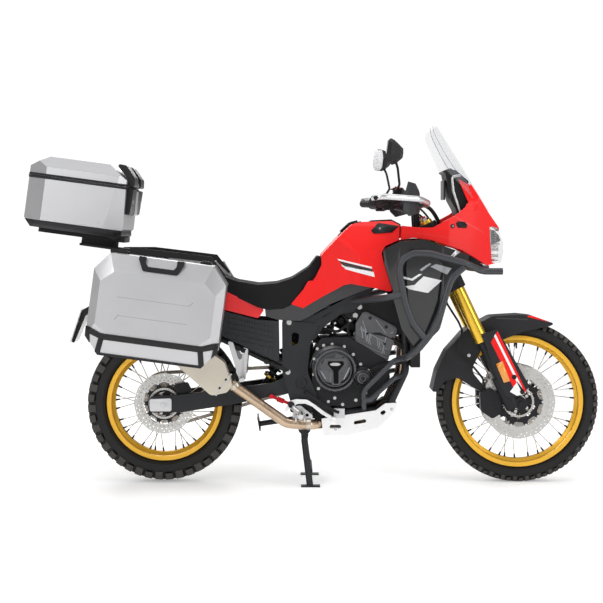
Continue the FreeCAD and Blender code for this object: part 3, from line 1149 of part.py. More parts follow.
barShape = rod(withNose([(225, -424, 1196), (318, -240, 1190), (430, -92, 1156), (430, 92, 1156),
                         (318, 240, 1190), (225, 424, 1196)]), 11, 70)
handlebarBar = solidOf("HandlebarTube", barShape)
riserShapes = [post(Vector(436 + noseShift, side * 45, 1086), Vector(431 + noseShift, side * 45, 1156), 14)
               for side in (1, -1)]
risers = solidOf("Risers", Part.makeCompound(riserShapes))
keep("handlebar", without("Handlebar", fused("HandlebarWhole", [handlebarBar, risers]), [upperYoke]))
gripShapes = bothSides([(228, 418, 1196), (290, 295, 1192)], 17, mapped=withNose)
controlShapes = bothSides([(292, 291, 1191), (318, 240, 1189)], 26, mapped=withNose)
controls = solidOf("GripsAndControls", Part.makeCompound(gripShapes + controlShapes))
keep("grips", without("Grips", controls, [handlebarBar]))
leverRods = bothSides([(322, 266, 1190), (352, 292, 1194), (330, 330, 1197), (290, 412, 1199)], 5.5, 20, withNose)
reservoir = post(Vector(338 + noseShift, -246, 1206), Vector(338 + noseShift, -246, 1246), 20)
barControls = solidOf("BarControlRods", Part.makeCompound([leverRods[0], leverRods[1].fuse(
    rod(withNose([(322, -262, 1192), (338, -246, 1216)]), 8)).fuse(reservoir)]))
keep("bar_controls", without("BarControls", barControls, [controls, handlebarBar]))
guardShapes = bothSides([(223, 428, 1197), (262, 452, 1200), (420, 380, 1196), (470, 280, 1188),
                         (388, 160, 1172)], 9, 50, withNose)
guards = solidOf("HandGuardBars", Part.makeCompound(guardShapes))
keep("hand_guards", without("HandGuards", guards, [handlebarBar, controls]))


def mirrorShape(side):
    """Stem and a head that tapers forward from the glass."""
    stemRod = rod(withNose([(306, side * 262, 1206), (343, side * 300, 1262), (332, side * 345, 1330),
                            (318, side * 384, 1368)]), 5, 30)
    outline = [(-72, -34), (-44, -50), (46, -44), (74, -12), (66, 40), (28, 54), (-52, 46), (-76, 12)]
    wires = []
    for depth, share in ((0, 0.94), (5, 1.0), (20, 0.9), (50, 0.42)):
        wires.append(Part.makePolygon([Vector(depth, side * u * share, v * share)
                                       for u, v in outline + outline[:1]]))
    head = Part.makeLoft(wires, True, True)
    head.rotate(Vector(0, 0, 0), Vector(0, 0, 1), side * 16)
    head.rotate(Vector(0, 0, 0), Vector(0, 1, 0), 6)
    head.translate(Vector(296 + noseShift, side * 392, 1394))
    return stemRod.fuse(head)


hosePath = [(560, -97, 834), (556, -97, 770), (606, -108, 690), (628, -108, 640), (596, -112, 596),
            (612, -112, 540), (672, -108, 496), (712, -88, 448), (724, -76, 396)]
hose = rod(withNose(hosePath), size("hoseRadius"), 40)
keep("brake_hose", without("BrakeHose", solidOf("BrakeHoseTube", hose), [lowerYoke, caliperPair, fender, legs]))

mirrors = solidOf("Mirrors", Part.makeCompound([mirrorShape(side) for side in (1, -1)]))
keep("mirrors", without("MirrorPair", mirrors, [controls]))

# Stands.


def centreStandShape():
    pivot = centreStandPivot
    hub = Part.makeCylinder(16, 184, pivot - Vector(0, 92, 0), Vector(0, 1, 0))
    hub = hub.cut(Part.makeCylinder(8 + size("runningFit"), 190, pivot - Vector(0, 95, 0), Vector(0, 1, 0)))
    footX = station(size("centreStandFootX"))
    half = size("centreStandHalf")
    radius = size("standTubeRadius")
    shapes = [hub]
    for side in (1, -1):
        leg = rod([(pivot.x + 4, side * 74, pivot.z - 12), (pivot.x, side * 80, pivot.z - 40),
                   (footX, side * half, -radius)], radius, 40)
        foot = Part.makeBox(80, 40, 6, Vector(footX - 40, side * half - 20, 0))
        shapes += [leg.cut(Part.makeBox(400, 400, 400, Vector(-300, side * half - 200, -400))), foot]
    shapes.append(rod([(footX - 2, -half + 20, 62), (footX - 2, half - 20, 62)], radius * 0.8))
    joined = joinShapes(shapes)
    return joined.cut(Part.makeCylinder(8 + size("runningFit"), 190, pivot - Vector(0, 95, 0), Vector(0, 1, 0)))


keep("centre_stand", solidOf("CentreStand", centreStandShape()))


def sideStandShape():
    """Folded leg with its eye and foot, square to the canted pin."""
    reach = size("sideStandLength")
    across = Vector(0, math.sin(standCant), -math.cos(standCant))
    leg = Vector(-math.cos(foldAngle), 0, 0) + across * math.sin(foldAngle)
    foot = sideStandPivot + leg * reach
    bar = rod([sideStandPivot, sideStandPivot + leg * (reach * 0.5), foot], 12, 200)
    sole = Part.makeBox(64, 52, 6)
    sole.Placement = Placement(foot, Rotation(sideStandAxis.cross(leg), sideStandAxis, leg, "ZYX"))
    sole.translate(sideStandAxis * -22 - sideStandAxis.cross(leg) * 26)
    eye = Part.makeCylinder(20, 18, sideStandPivot - sideStandAxis * 9, sideStandAxis)
    bore = Part.makeCylinder(6 + size("runningFit"), 80, sideStandPivot - sideStandAxis * 40, sideStandAxis)
    return joinShapes([bar, sole, eye]).cut(bore)


keep("side_stand", solidOf("SideStand", sideStandShape()))

doc.recompute()

failed = [item.Label for item in doc.Objects if "Invalid" in item.State or "Error" in item.State]
if failed:
    raise RuntimeError("failed objects: " + ", ".join(failed))
os.makedirs("parts", exist_ok=True)
for item in nodes:
    if item.Shape.isNull() or not item.Shape.isValid():
        raise RuntimeError("bad shape: " + item.Label)
    item.Shape.exportStep("parts/" + item.Label + ".step")
print(len(nodes), "parts written")
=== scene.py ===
import json
import math
import bmesh
import bpy
from mathutils import Matrix, Vector
from mathutils.bvhtree import BVHTree


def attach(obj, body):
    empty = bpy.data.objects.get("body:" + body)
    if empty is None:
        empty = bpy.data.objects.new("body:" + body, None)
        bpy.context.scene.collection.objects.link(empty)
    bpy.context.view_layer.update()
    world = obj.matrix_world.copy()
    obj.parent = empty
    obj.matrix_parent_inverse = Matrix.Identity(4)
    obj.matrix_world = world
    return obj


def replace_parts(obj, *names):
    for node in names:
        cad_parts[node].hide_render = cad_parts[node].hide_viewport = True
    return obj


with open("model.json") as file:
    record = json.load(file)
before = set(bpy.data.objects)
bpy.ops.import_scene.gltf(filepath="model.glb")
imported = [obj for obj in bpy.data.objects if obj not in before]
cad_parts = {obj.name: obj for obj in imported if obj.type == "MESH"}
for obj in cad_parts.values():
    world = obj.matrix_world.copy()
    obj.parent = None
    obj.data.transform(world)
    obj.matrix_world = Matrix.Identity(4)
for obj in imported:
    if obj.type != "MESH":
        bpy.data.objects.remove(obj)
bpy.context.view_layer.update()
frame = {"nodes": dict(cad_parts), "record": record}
nodes = frame["nodes"]
bodyOf = {node: body for body, members in frame["record"]["behaviour"]["bodies"].items() for node in members}
scene = bpy.context.scene

# where the photograph was taken from, in metres
cameraSetup = {"place": (-0.106, -6.3, 1.099), "lens": 87.4, "shift": (0.019, -0.127)}
studio = {
    "seen": 1.05, "lighting": (0.14, 0.62), "floorSize": 60.0,
    "areas": [
        ("overhead", (0.0, -0.4, 4.4), (0.0, 0.0, 0.5), (5.0, 3.0), 95.0),
        ("cameraSide", (-2.8, -5.0, 3.0), (0.0, 0.0, 0.7), (2.2, 2.2), 95.0),
        ("front", (4.2, -2.6, 2.0), (0.3, 0.0, 0.7), (1.6, 2.4), 60.0),
        ("behind", (-1.5, 4.4, 2.8), (0.0, 0.0, 0.7), (3.0, 2.0), 90.0),
    ],
}


def finishOf(colour, rough, grain, spread, **more):
    # grain is (scale, depth); more holds the metal share, coat, shine, alpha, ribs, weave or glow
    return {"colour": colour, "rough": rough, "grain": grain, "spread": spread, **more}


finishes = {
    "redPaint": finishOf((0.8, 0.004, 0.003), 0.5, (900, 0.01), 0.04, coat=0.06, shine=0.3),
    "tailRed": finishOf((0.8, 0.01, 0.012), 0.42, (900, 0.01), 0.04, coat=0.18),
    "glossBlack": finishOf((0.01, 0.01, 0.011), 0.15, (700, 0.01), 0.1, coat=0.7),
    "mattBlack": finishOf((0.012, 0.012, 0.013), 0.5, (1400, 0.12), 0.2, shine=0.25),
    "softBlack": finishOf((0.017, 0.017, 0.019), 0.46, (1100, 0.1), 0.15, shine=0.25),
    "caseBlack": finishOf((0.013, 0.013, 0.014), 0.4, (1300, 0.12), 0.12, shine=0.25),
    "ribbedGrey": finishOf((0.026, 0.027, 0.03), 0.42, (1000, 0.06), 0.12, shine=0.25, ribs=(0.007, 0.5)),
    "ribbedPlain": finishOf((0.03, 0.031, 0.034), 0.42, (1000, 0.06), 0.12, shine=0.25),
    "weaveBlack": finishOf((0.03, 0.03, 0.033), 0.34, (900, 0.02), 0.08, coat=0.4, weave=210.0),
    "seatVinyl": finishOf((0.014, 0.014, 0.015), 0.75, (650, 0.45), 0.12, shine=0.08),
    "rubber": finishOf((0.012, 0.012, 0.012), 0.62, (900, 0.15), 0.2, shine=0.25),
    "tyreRubber": finishOf((0.014, 0.014, 0.014), 0.6, (420, 0.2), 0.3, shine=0.25),
    "treadRubber": finishOf((0.055, 0.051, 0.048), 0.7, (420, 0.3), 0.5, shine=0.25),
    "goldTube": finishOf((0.8, 0.5, 0.055), 0.26, (600, 0.02), 0.06, metal=0.85),
    "goldRim": finishOf((0.84, 0.46, 0.03), 0.34, (600, 0.02), 0.05, metal=0.55, coat=0.3),
    "satinTube": finishOf((0.04, 0.043, 0.049), 0.4, (1200, 0.06), 0.12, metal=0.2),
    "frameBlack": finishOf((0.02, 0.021, 0.024), 0.45, (900, 0.1), 0.15, shine=0.25),
    "castBlack": finishOf((0.016, 0.016, 0.018), 0.48, (800, 0.3), 0.22, shine=0.25, metal=0.2),
    "coverGrey": finishOf((0.095, 0.096, 0.104), 0.3, (900, 0.15), 0.15, metal=0.6),
    # pale grey for the raised lines and fins on the engine: a painted highlight along their edges
    "ribPaintedHighlight": finishOf((0.36, 0.36, 0.38), 0.34, (800, 0.1), 0.2, metal=0.6),
    "finGrey": finishOf((0.115, 0.116, 0.124), 0.34, (800, 0.2), 0.2, metal=0.6),
    "bareSteel": finishOf((0.56, 0.55, 0.54), 0.28, (500, 0.04), 0.12, metal=1.0),
    "chainSteel": finishOf((0.3, 0.27, 0.23), 0.36, (400, 0.1), 0.3, metal=0.95),
    "discSteel": finishOf((0.55, 0.54, 0.52), 0.32, (300, 0.06), 0.15, metal=0.9),
    "chrome": finishOf((0.8, 0.8, 0.81), 0.1, (400, 0.01), 0.04, metal=1.0),
    "bareAlloy": finishOf((0.62, 0.62, 0.63), 0.32, (420, 0.05), 0.06, metal=0.85),
    "plateAlloy": finishOf((0.86, 0.86, 0.86), 0.42, (420, 0.04), 0.04, metal=0.35),
    "caseSilver": finishOf((0.52, 0.52, 0.53), 0.36, (1500, 0.06), 0.05, metal=0.72),
    # darker copy of caseSilver: painted shade for the upward faces of the case lids
    "casePaintedShade": finishOf((0.3, 0.3, 0.31), 0.36, (1500, 0.06), 0.05, metal=0.72),
    "pipeTint": finishOf((0.56, 0.42, 0.3), 0.28, (300, 0.04), 0.35, metal=0.95),
    "champagne": finishOf((0.62, 0.57, 0.48), 0.34, (500, 0.05), 0.1, metal=0.85),
    "lensClear": finishOf((0.6, 0.61, 0.63), 0.05, (200, 0.0), 0.0, alpha=0.22),
    "screenClear": finishOf((0.42, 0.43, 0.47), 0.05, (200, 0.0), 0.0, alpha=0.11),
    "plateWhite": finishOf((0.78, 0.78, 0.78), 0.4, (600, 0.02), 0.03),
    "stripeWhite": finishOf((0.82, 0.82, 0.83), 0.25, (600, 0.01), 0.02, coat=0.6),
    "stripeGrey": finishOf((0.34, 0.35, 0.37), 0.25, (600, 0.01), 0.04, coat=0.6),
    "redAnodised": finishOf((0.55, 0.012, 0.02), 0.25, (500, 0.02), 0.1, metal=0.7),
    "lampRed": finishOf((0.45, 0.01, 0.01), 0.12, (300, 0.0), 0.05, coat=0.8),
    "amber": finishOf((0.8, 0.3, 0.02), 0.15, (700, 0.3), 0.05, coat=0.8),
    "edgeBlue": finishOf((0.1, 0.11, 0.2), 0.2, (200, 0.0), 0.0),
    # near-black with little shine: painted shade for the recess in the clutch cover
    "recessPaintedShade": finishOf((0.003, 0.003, 0.003), 0.5, (700, 0.02), 0.1, shine=0.1),
    # flat light grey on the mirror glass: a painted reflection of the bright studio
    "mirrorPaintedReflection": finishOf((0.42, 0.43, 0.44), 0.35, (200, 0.0), 0.0),
    "dialGlass": finishOf((0.01, 0.012, 0.016), 0.06, (200, 0.0), 0.0, coat=1.0),
    "floorPale": finishOf((0.88, 0.88, 0.88), 0.9, (60, 0.0), 0.01, glow=0.3, fade=(1.6, 4.5)),
}

# CAD nodes that keep their shape: their finish, and how far their edges are rounded, in millimetres
dressing = {
    "frame": ("frameBlack", 1.5), "swingarm": ("frameBlack", 4.0), "rear_axle": ("bareAlloy", 1.2),
    "engine": ("castBlack", 3.0), "cylinder_head": ("finGrey", 2.0), "engine_covers": ("coverGrey", 1.5),
    "radiator": ("mattBlack", 0.8), "skid_plate": ("plateAlloy", 0.8), "exhaust_pipes": ("pipeTint", 0.6),
    "silencer": ("champagne", 5.0), "tank": ("redPaint", 9.0), "tail_panels": ("tailRed", 3.0),
    "side_covers": ("ribbedGrey", 2.0), "side_strips": ("weaveBlack", 1.5), "headlight": ("lensClear", 4.0),
    "fairing": ("redPaint", 6.0), "shrouds": ("glossBlack", 5.0), "cockpit": ("mattBlack", 2.0),
    "windscreen": ("screenClear", 0.0), "screen_arms": ("bareAlloy", 0.5), "tank_trim": ("softBlack", 3.0),
    "crash_bars": ("satinTube", 0.6), "luggage_rack": ("mattBlack", 1.5),
    "top_case_body": ("caseSilver", 1.6, 12), "top_case_lid": ("caseSilver", 1.6, 12),
    "pannier_body_left": ("caseSilver", 1.6, 12), "pannier_body_right": ("caseSilver", 1.6, 12),
    "pannier_lid_left": ("caseSilver", 1.8, 10), "pannier_lid_right": ("caseSilver", 1.8, 10),
    "rear_mudguard": ("mattBlack", 3.0),
    "number_plate": ("plateWhite", 0.4), "tail_lamp": ("lampRed", 3.0), "rear_caliper": ("castBlack", 2.0),
    "footrests": ("bareAlloy", 1.0), "yokes": ("castBlack", 3.0), "fork_tubes": ("goldTube", 0.8),
    "fork_lowers": ("castBlack", 2.0), "fork_guards": ("softBlack", 1.5),
    "front_mudguard": ("softBlack", 3.0), "handlebar": ("castBlack", 0.8), "grips": ("rubber", 1.5),
    "hand_guards": ("bareAlloy", 1.0),
    "bar_controls": ("castBlack", 0.8), "brake_hose": ("rubber", 0.0), "mirrors": ("mattBlack", 1.5),
    "front_rim": ("goldRim", 0.6), "front_hub_spokes": ("bareSteel", 0.0), "rear_rim": ("goldRim", 0.6),
    "rear_hub_spokes": ("bareSteel", 0.0), "rear_sprocket": ("bareSteel", 0.5),
    "centre_stand": ("frameBlack", 1.0), "side_stand": ("frameBlack", 1.0),
}


# shader node groups, each built once

def newGroup(name, inputs, outputs):
    group = bpy.data.node_groups.new(name, "ShaderNodeTree")
    for label, kind, value in inputs:
        socket = group.interface.new_socket(name=label, in_out="INPUT", socket_type=kind)
        socket.default_value = value
    for label, kind in outputs:
        group.interface.new_socket(name=label, in_out="OUTPUT", socket_type=kind)
    return group, group.nodes.new("NodeGroupInput").outputs, group.nodes.new("NodeGroupOutput").inputs


def feed(tree, socket, value):
    if isinstance(value, bpy.types.NodeSocket):
        tree.links.new(value, socket)
    else:
        socket.default_value = value


def mathNode(tree, operation, first, second=0.0, third=0.0):
    node = tree.nodes.new("ShaderNodeMath")
    node.operation = operation
    for socket, value in zip(node.inputs, (first, second, third)):
        feed(tree, socket, value)
    return node.outputs[0]


def noiseNode(tree, vector, scale, detail=3.0):
    node = tree.nodes.new("ShaderNodeTexNoise")
    node.inputs["Detail"].default_value = detail
    feed(tree, node.inputs["Scale"], scale)
    tree.links.new(vector, node.inputs["Vector"])
    return node.outputs["Fac"]


def mixColour(tree, factor, first, second, blend="MIX"):
    node = tree.nodes.new("ShaderNodeMix")
    node.data_type = "RGBA"
    node.blend_type = blend
    colours = [socket for socket in node.inputs if socket.type == "RGBA"]
    feed(tree, node.inputs["Factor"], factor)
    feed(tree, colours[0], first)
    feed(tree, colours[1], second)
    return [socket for socket in node.outputs if socket.type == "RGBA"][0]


def surfaceGroup():
    group, given, result = newGroup("surfaceDetail", [
        ("Vector", "NodeSocketVector", (0, 0, 0)), ("Colour", "NodeSocketColor", (0.5, 0.5, 0.5, 1)),
        ("Spread", "NodeSocketFloat", 0.1), ("Roughness", "NodeSocketFloat", 0.4),
        ("Grain Scale", "NodeSocketFloat", 400.0), ("Grain Depth", "NodeSocketFloat", 0.1),
    ], [("Colour", "NodeSocketColor"), ("Roughness", "NodeSocketFloat"), ("Height", "NodeSocketFloat")])
    cloud = noiseNode(group, given["Vector"], 9.0)
    fine = noiseNode(group, given["Vector"], given["Grain Scale"], 2.0)
    swing = mathNode(group, "MULTIPLY", mathNode(group, "SUBTRACT", cloud, 0.5), given["Spread"])
    shade = mathNode(group, "ADD", mathNode(group, "MULTIPLY", swing, 2.0), 1.0)
    grey = group.nodes.new("ShaderNodeCombineColor")
    for socket in grey.inputs[:3]:
        group.links.new(shade, socket)
    feed(group, result["Colour"], mixColour(group, 1.0, given["Colour"], grey.outputs[0], "MULTIPLY"))
    speckle = mathNode(group, "MULTIPLY", mathNode(group, "SUBTRACT", fine, 0.5), 0.12)
    rough = mathNode(group, "ADD", given["Roughness"], mathNode(group, "ADD", swing, speckle))
    feed(group, result["Roughness"], rough)
    feed(group, result["Height"], mathNode(group, "MULTIPLY", fine, given["Grain Depth"]))
    return group


def splitVector(tree, vector):
    node = tree.nodes.new("ShaderNodeSeparateXYZ")
    tree.links.new(vector, node.inputs[0])
    return node.outputs


def ribGroup():
    # upright ribs, a pitch apart along the bike
    group, given, result = newGroup("ribs", [
        ("Vector", "NodeSocketVector", (0, 0, 0)), ("Pitch", "NodeSocketFloat", 0.007),
    ], [("Height", "NodeSocketFloat")])
    along = splitVector(group, given["Vector"])[0]
    turn = mathNode(group, "MULTIPLY", mathNode(group, "DIVIDE", along, given["Pitch"]), 2 * math.pi)
    feed(group, result["Height"], mathNode(group, "SINE", turn))
    return group


def weaveGroup():
    # twill: little squares that alternate between two directions
    group, given, result = newGroup("twill", [
        ("Vector", "NodeSocketVector", (0, 0, 0)), ("Scale", "NodeSocketFloat", 200.0),
    ], [("Mask", "NodeSocketFloat")])
    parts = splitVector(group, given["Vector"])
    along = mathNode(group, "MULTIPLY", parts[0], given["Scale"])
    up = mathNode(group, "MULTIPLY", parts[2], given["Scale"])
    step = mathNode(group, "ADD", mathNode(group, "FLOOR", along), mathNode(group, "FLOOR", up))
    odd = mathNode(group, "PINGPONG", step, 1.0)
    feed(group, result["Mask"], odd)
    return group


detailGroup = surfaceGroup()
ribs = ribGroup()
twill = weaveGroup()


def placeGroup(tree, group, place, values):
    node = tree.nodes.new("ShaderNodeGroup")
    node.node_tree = group
    tree.links.new(place, node.inputs["Vector"])
    for label, value in values.items():
        node.inputs[label].default_value = value
    return node.outputs


def makeMaterial(name):
    finish = finishes[name]
    material = bpy.data.materials.new(name)
    material.use_nodes = True
    tree = material.node_tree
    shader = tree.nodes["Principled BSDF"]
    place = tree.nodes.new("ShaderNodeTexCoord").outputs["Object"]
    detail = placeGroup(tree, detailGroup, place, {
        "Colour": (*finish["colour"], 1), "Spread": finish["spread"], "Roughness": finish["rough"],
        "Grain Scale": finish["grain"][0], "Grain Depth": finish["grain"][1]})
    shader.inputs["Metallic"].default_value = finish.get("metal", 0.0)
    shader.inputs["Coat Weight"].default_value = finish.get("coat", 0.0)
    shader.inputs["Coat Roughness"].default_value = 0.04
    shader.inputs["Alpha"].default_value = finish.get("alpha", 1.0)
    shader.inputs["Specular IOR Level"].default_value = finish.get("shine", 0.5)
    colour = detail["Colour"]
    if "glow" in finish:
        # the floor fades into the white background away from the bike
        near, far = finish["fade"]
        length = tree.nodes.new("ShaderNodeVectorMath")
        length.operation = "LENGTH"
        tree.links.new(place, length.inputs[0])
        share = tree.nodes.new("ShaderNodeMapRange")
        share.inputs["From Min"].default_value = near
        share.inputs["From Max"].default_value = far
        tree.links.new(length.outputs["Value"], share.inputs["Value"])
        glow = mixColour(tree, share.outputs["Result"], (finish["glow"],) * 3 + (1,),
                         (studio["seen"],) * 3 + (1,))
        tree.links.new(glow, shader.inputs["Emission Color"])
        shader.inputs["Emission Strength"].default_value = 1.0
        colour = mixColour(tree, share.outputs["Result"], colour, (0.0, 0.0, 0.0, 1))
    height = detail["Height"]
    depth = 0.35
    if "ribs" in finish:
        pitch, strength = finish["ribs"]
        wave = placeGroup(tree, ribs, place, {"Pitch": pitch})["Height"]
        height = mathNode(tree, "ADD", height, mathNode(tree, "MULTIPLY", wave, strength))
        depth = 0.8
    if "weave" in finish:
        mask = placeGroup(tree, twill, place, {"Scale": finish["weave"]})["Mask"]
        colour = mixColour(tree, mathNode(tree, "MULTIPLY", mask, 0.75), colour, (0.004, 0.004, 0.005, 1))
        height = mathNode(tree, "ADD", height, mathNode(tree, "MULTIPLY", mask, 0.3))
    tree.links.new(colour, shader.inputs["Base Color"])
    tree.links.new(detail["Roughness"], shader.inputs["Roughness"])
    if finish["grain"][1] > 0:
        bump = tree.nodes.new("ShaderNodeBump")
        bump.inputs["Strength"].default_value = depth
        bump.inputs["Distance"].default_value = 0.001
        tree.links.new(height, bump.inputs["Height"])
        tree.links.new(bump.outputs["Normal"], shader.inputs["Normal"])
    return material


materials = {name: makeMaterial(name) for name in finishes}
print("materials", len(materials))


# small modelling helpers; shapes are drawn in millimetres

viewAxes = {"side": (Vector((1, 0, 0)), Vector((0, 0, 1)), Vector((0, 1, 0))),
            "plan": (Vector((1, 0, 0)), Vector((0, 1, 0)), Vector((0, 0, 1))),
            "front": (Vector((0, 1, 0)), Vector((0, 0, 1)), Vector((1, 0, 0)))}
shells = {}


def pieceFrom(name, shape, finish, node=None, sharp=35.0, closed=True):
    bmesh.ops.remove_doubles(shape, verts=shape.verts, dist=0.01)
    if closed:
        bmesh.ops.recalc_face_normals(shape, faces=shape.faces)
    bmesh.ops.scale(shape, vec=(0.001, 0.001, 0.001), verts=shape.verts)
    mesh = bpy.data.meshes.new(name)
    shape.to_mesh(mesh)
    shape.free()
    mesh.materials.append(materials[finish])
    mesh.shade_smooth()
    mesh.set_sharp_from_angle(angle=math.radians(sharp))
    piece = bpy.data.objects.new(name, mesh)
    scene.collection.objects.link(piece)
    if node:
        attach(piece, bodyOf[node])
    return piece


def copyOf(node):
    shape = bmesh.new()
    shape.from_mesh(nodes[node].data)
    bmesh.ops.scale(shape, vec=(1000, 1000, 1000), verts=shape.verts)
    bmesh.ops.remove_doubles(shape, verts=shape.verts, dist=0.01)
    return shape


def softenEdges(piece, width, segments=2, angle=28.0):
    bevel = piece.modifiers.new("bevel", "BEVEL")
    bevel.width = width / 1000.0
    bevel.segments = segments
    bevel.limit_method = "ANGLE"
    bevel.angle_limit = math.radians(angle)
    bevel.harden_normals = True
    bevel.use_clamp_overlap = True
    return piece


def dressNode(node, finish, width, sharp=35.0):
    shape = copyOf(node)
    bmesh.ops.dissolve_limit(shape, angle_limit=math.radians(1.0), verts=shape.verts, edges=shape.edges)
    piece = pieceFrom(node + "_shell", shape, finish, node, sharp, closed=False)
    shells[node] = piece
    if width:
        softenEdges(piece, width, 3 if width > 2.5 else 2)
    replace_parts(piece, node)
    return piece


def paint(node, finish, test):
    # another finish on the faces of a dressed node whose centre (mm) and normal pass a test
    mesh = shells[node].data
    mesh.materials.append(materials[finish])
    for face in mesh.polygons:
        if test(face.center * 1000.0, face.normal):
            face.material_index = len(mesh.materials) - 1


def thicken(piece, thick, offset=-1.0):
    wall = piece.modifiers.new("thickness", "SOLIDIFY")
    wall.thickness = thick / 1000.0
    wall.offset = offset


def cutAway(shape, spot, outward):
    # drops what lies beyond a plane
    bmesh.ops.bisect_plane(shape, geom=shape.verts[:] + shape.edges[:] + shape.faces[:], dist=0.001,
                           plane_co=spot, plane_no=outward, clear_outer=True)


def liftOff(shape, lift):
    shape.normal_update()
    for vert in shape.verts:
        vert.co += vert.normal * lift


def bandOf(name, node, low, high, lift, finish, place):
    # the belt of a CAD surface between two levels of a frame of its own, lifted off it
    shape = copyOf(node)
    for level, side in ((low, -1), (high, 1)):
        cutAway(shape, place @ Vector((0, 0, level)), place.to_3x3() @ Vector((0, 0, side)))
    liftOff(shape, lift)
    piece = pieceFrom(name, shape, finish, node, closed=False)
    thicken(piece, lift)
    return piece


def between(start, end):
    # a frame whose Z runs from start to end, at the middle
    start = Vector(start)
    end = Vector(end)
    turn = (end - start).to_track_quat("Z", "Y").to_matrix().to_4x4()
    return Matrix.Translation((start + end) / 2) @ turn, (end - start).length


def addRod(shape, start, end, radius, sides=20, endRadius=None):
    matrix, length = between(start, end)
    bmesh.ops.create_cone(shape, cap_ends=True, segments=sides, radius1=radius,
                          radius2=radius if endRadius is None else endRadius, depth=length, matrix=matrix)


def addBlock(shape, corner, opposite, matrix=None):
    low = Vector([min(pair) for pair in zip(corner, opposite)])
    high = Vector([max(pair) for pair in zip(corner, opposite)])
    place = Matrix.Translation((low + high) / 2) @ Matrix.Diagonal((*(high - low), 1))
    bmesh.ops.create_cube(shape, size=1.0, matrix=(matrix or Matrix()) @ place)


def rounded(corners, steps=5):
    # outline of (u, v, radius) corners, each turned into an arc
    points = []
    for index, corner in enumerate(corners):
        here = Vector(corner[:2])
        back = Vector(corners[index - 1][:2]) - here
        ahead = Vector(corners[(index + 1) % len(corners)][:2]) - here
        radius = corner[2] if len(corner) > 2 else 0.0
        turn = back.angle(ahead)
        if radius <= 0 or turn > math.pi - 0.03:
            points.append(tuple(here))
            continue
        reach = min(radius / math.tan(turn / 2), 0.48 * min(back.length, ahead.length))
        radius = reach * math.tan(turn / 2)
        centre = here + (back.normalized() + ahead.normalized()).normalized() * (radius / math.sin(turn / 2))
        start = here + back.normalized() * reach - centre
        end = here + ahead.normalized() * reach - centre
        sweep = start.angle_signed(end)
        for step in range(steps + 1):
            spoke = start.copy()
            spoke.rotate(Matrix.Rotation(-sweep * step / steps, 2))
            points.append(tuple(centre + spoke))
    return points


def around(centreU, centreV, reach, angle):
    return centreU + reach * math.cos(angle), centreV + reach * math.sin(angle)


def circle(centreU, centreV, radius, sides=12, start=0.0):
    return [around(centreU, centreV, radius, start + 2 * math.pi * step / sides) for step in range(sides)]


def addPlate(shape, outline, start, end, holes=(), view="side"):
    across, up, along = viewAxes[view]
    edges = []
    for loop in [outline] + list(holes):
        ring = [shape.verts.new(across * u + up * v + along * start) for u, v in loop]
        edges += [shape.edges.new(ends) for ends in zip(ring, ring[1:] + ring[:1])]
    filled = bmesh.ops.triangle_fill(shape, use_beauty=True, use_dissolve=not holes, edges=edges)
    faces = [item for item in filled["geom"] if isinstance(item, bmesh.types.BMFace)]
    grown = bmesh.ops.extrude_face_region(shape, geom=faces)
    upper = [item for item in grown["geom"] if isinstance(item, bmesh.types.BMVert)]
    bmesh.ops.translate(shape, verts=upper, vec=along * (end - start))


def addPair(shape, outline, near, far):
    # the same plate on both sides of the bike
    for side in (1, -1):
        addPlate(shape, outline, side * near, side * far)


def addSpin(shape, profile, centre, steps=96, closed=True, axis=(0, 1, 0)):
    # profile of (radius, distance along the axis) points, turned about it
    axis = Vector(axis).normalized()
    side = axis.orthogonal().normalized()
    centre = Vector(centre)
    ring = [shape.verts.new(centre + side * radius + axis * along) for radius, along in profile]
    pairs = list(zip(ring, ring[1:]))
    if closed:
        pairs.append((ring[-1], ring[0]))
    edges = [shape.edges.new(ends) for ends in pairs]
    bmesh.ops.spin(shape, geom=ring + edges, cent=centre, axis=axis, angle=2 * math.pi, steps=steps,
                   use_merge=True)


def pour(source, target):
    # moves one shape into another
    holder = bpy.data.meshes.new("part")
    source.to_mesh(holder)
    source.free()
    target.from_mesh(holder)
    bpy.data.meshes.remove(holder)


def addAround(shape, part, centre, count, start=0.0):
    # copies of a small shape drawn about the origin, turned about an axle through the centre
    for index in range(count):
        turned = part.copy()
        turn = Matrix.Rotation(start + 2 * math.pi * index / count, 4, "Y")
        bmesh.ops.transform(turned, matrix=Matrix.Translation(centre) @ turn, verts=turned.verts)
        pour(turned, shape)


def addBolt(shape, place, heading, radius, height):
    place = Vector(place)
    heading = Vector(heading).normalized()
    foot = place - heading * 2
    addRod(shape, foot, place + heading * 1.2, radius * 1.45, 18)
    addRod(shape, foot, place + heading * height, radius, 6, radius * 0.93)
    addRod(shape, place + heading * height * 0.4, place + heading * (height + 0.6), radius * 0.5, 10)


def makePiece(name, finish, node, parts, soft=0.0, segments=2, sharp=35.0, place=None):
    # parts are builders with their values; soft rounds the edges, place moves the whole
    shape = bmesh.new()
    for build, *values in parts:
        build(shape, *values)
    if place:
        bmesh.ops.transform(shape, matrix=place, verts=shape.verts)
    piece = pieceFrom(name, shape, finish, node, sharp)
    return softenEdges(piece, soft, segments) if soft else piece


def hosePiece(name, points, radius, finish, node, smooth=6):
    # a tube along a smooth curve near a few given points
    curve = bpy.data.curves.new("route", "CURVE")
    curve.dimensions = "3D"
    curve.resolution_u = 10
    line = curve.splines.new("NURBS")
    line.points.add(len(points) - 1)
    for point, place in zip(line.points, points):
        point.co = (*place, 1)
    line.order_u = 3
    line.use_endpoint_u = True
    curve.bevel_depth = radius
    curve.bevel_resolution = smooth
    curve.use_fill_caps = True
    holder = bpy.data.objects.new("route", curve)
    mesh = bpy.data.meshes.new_from_object(holder)
    bpy.data.objects.remove(holder)
    shape = bmesh.new()
    shape.from_mesh(mesh)
    bpy.data.meshes.remove(mesh)
    return pieceFrom(name, shape, finish, node, sharp=50)


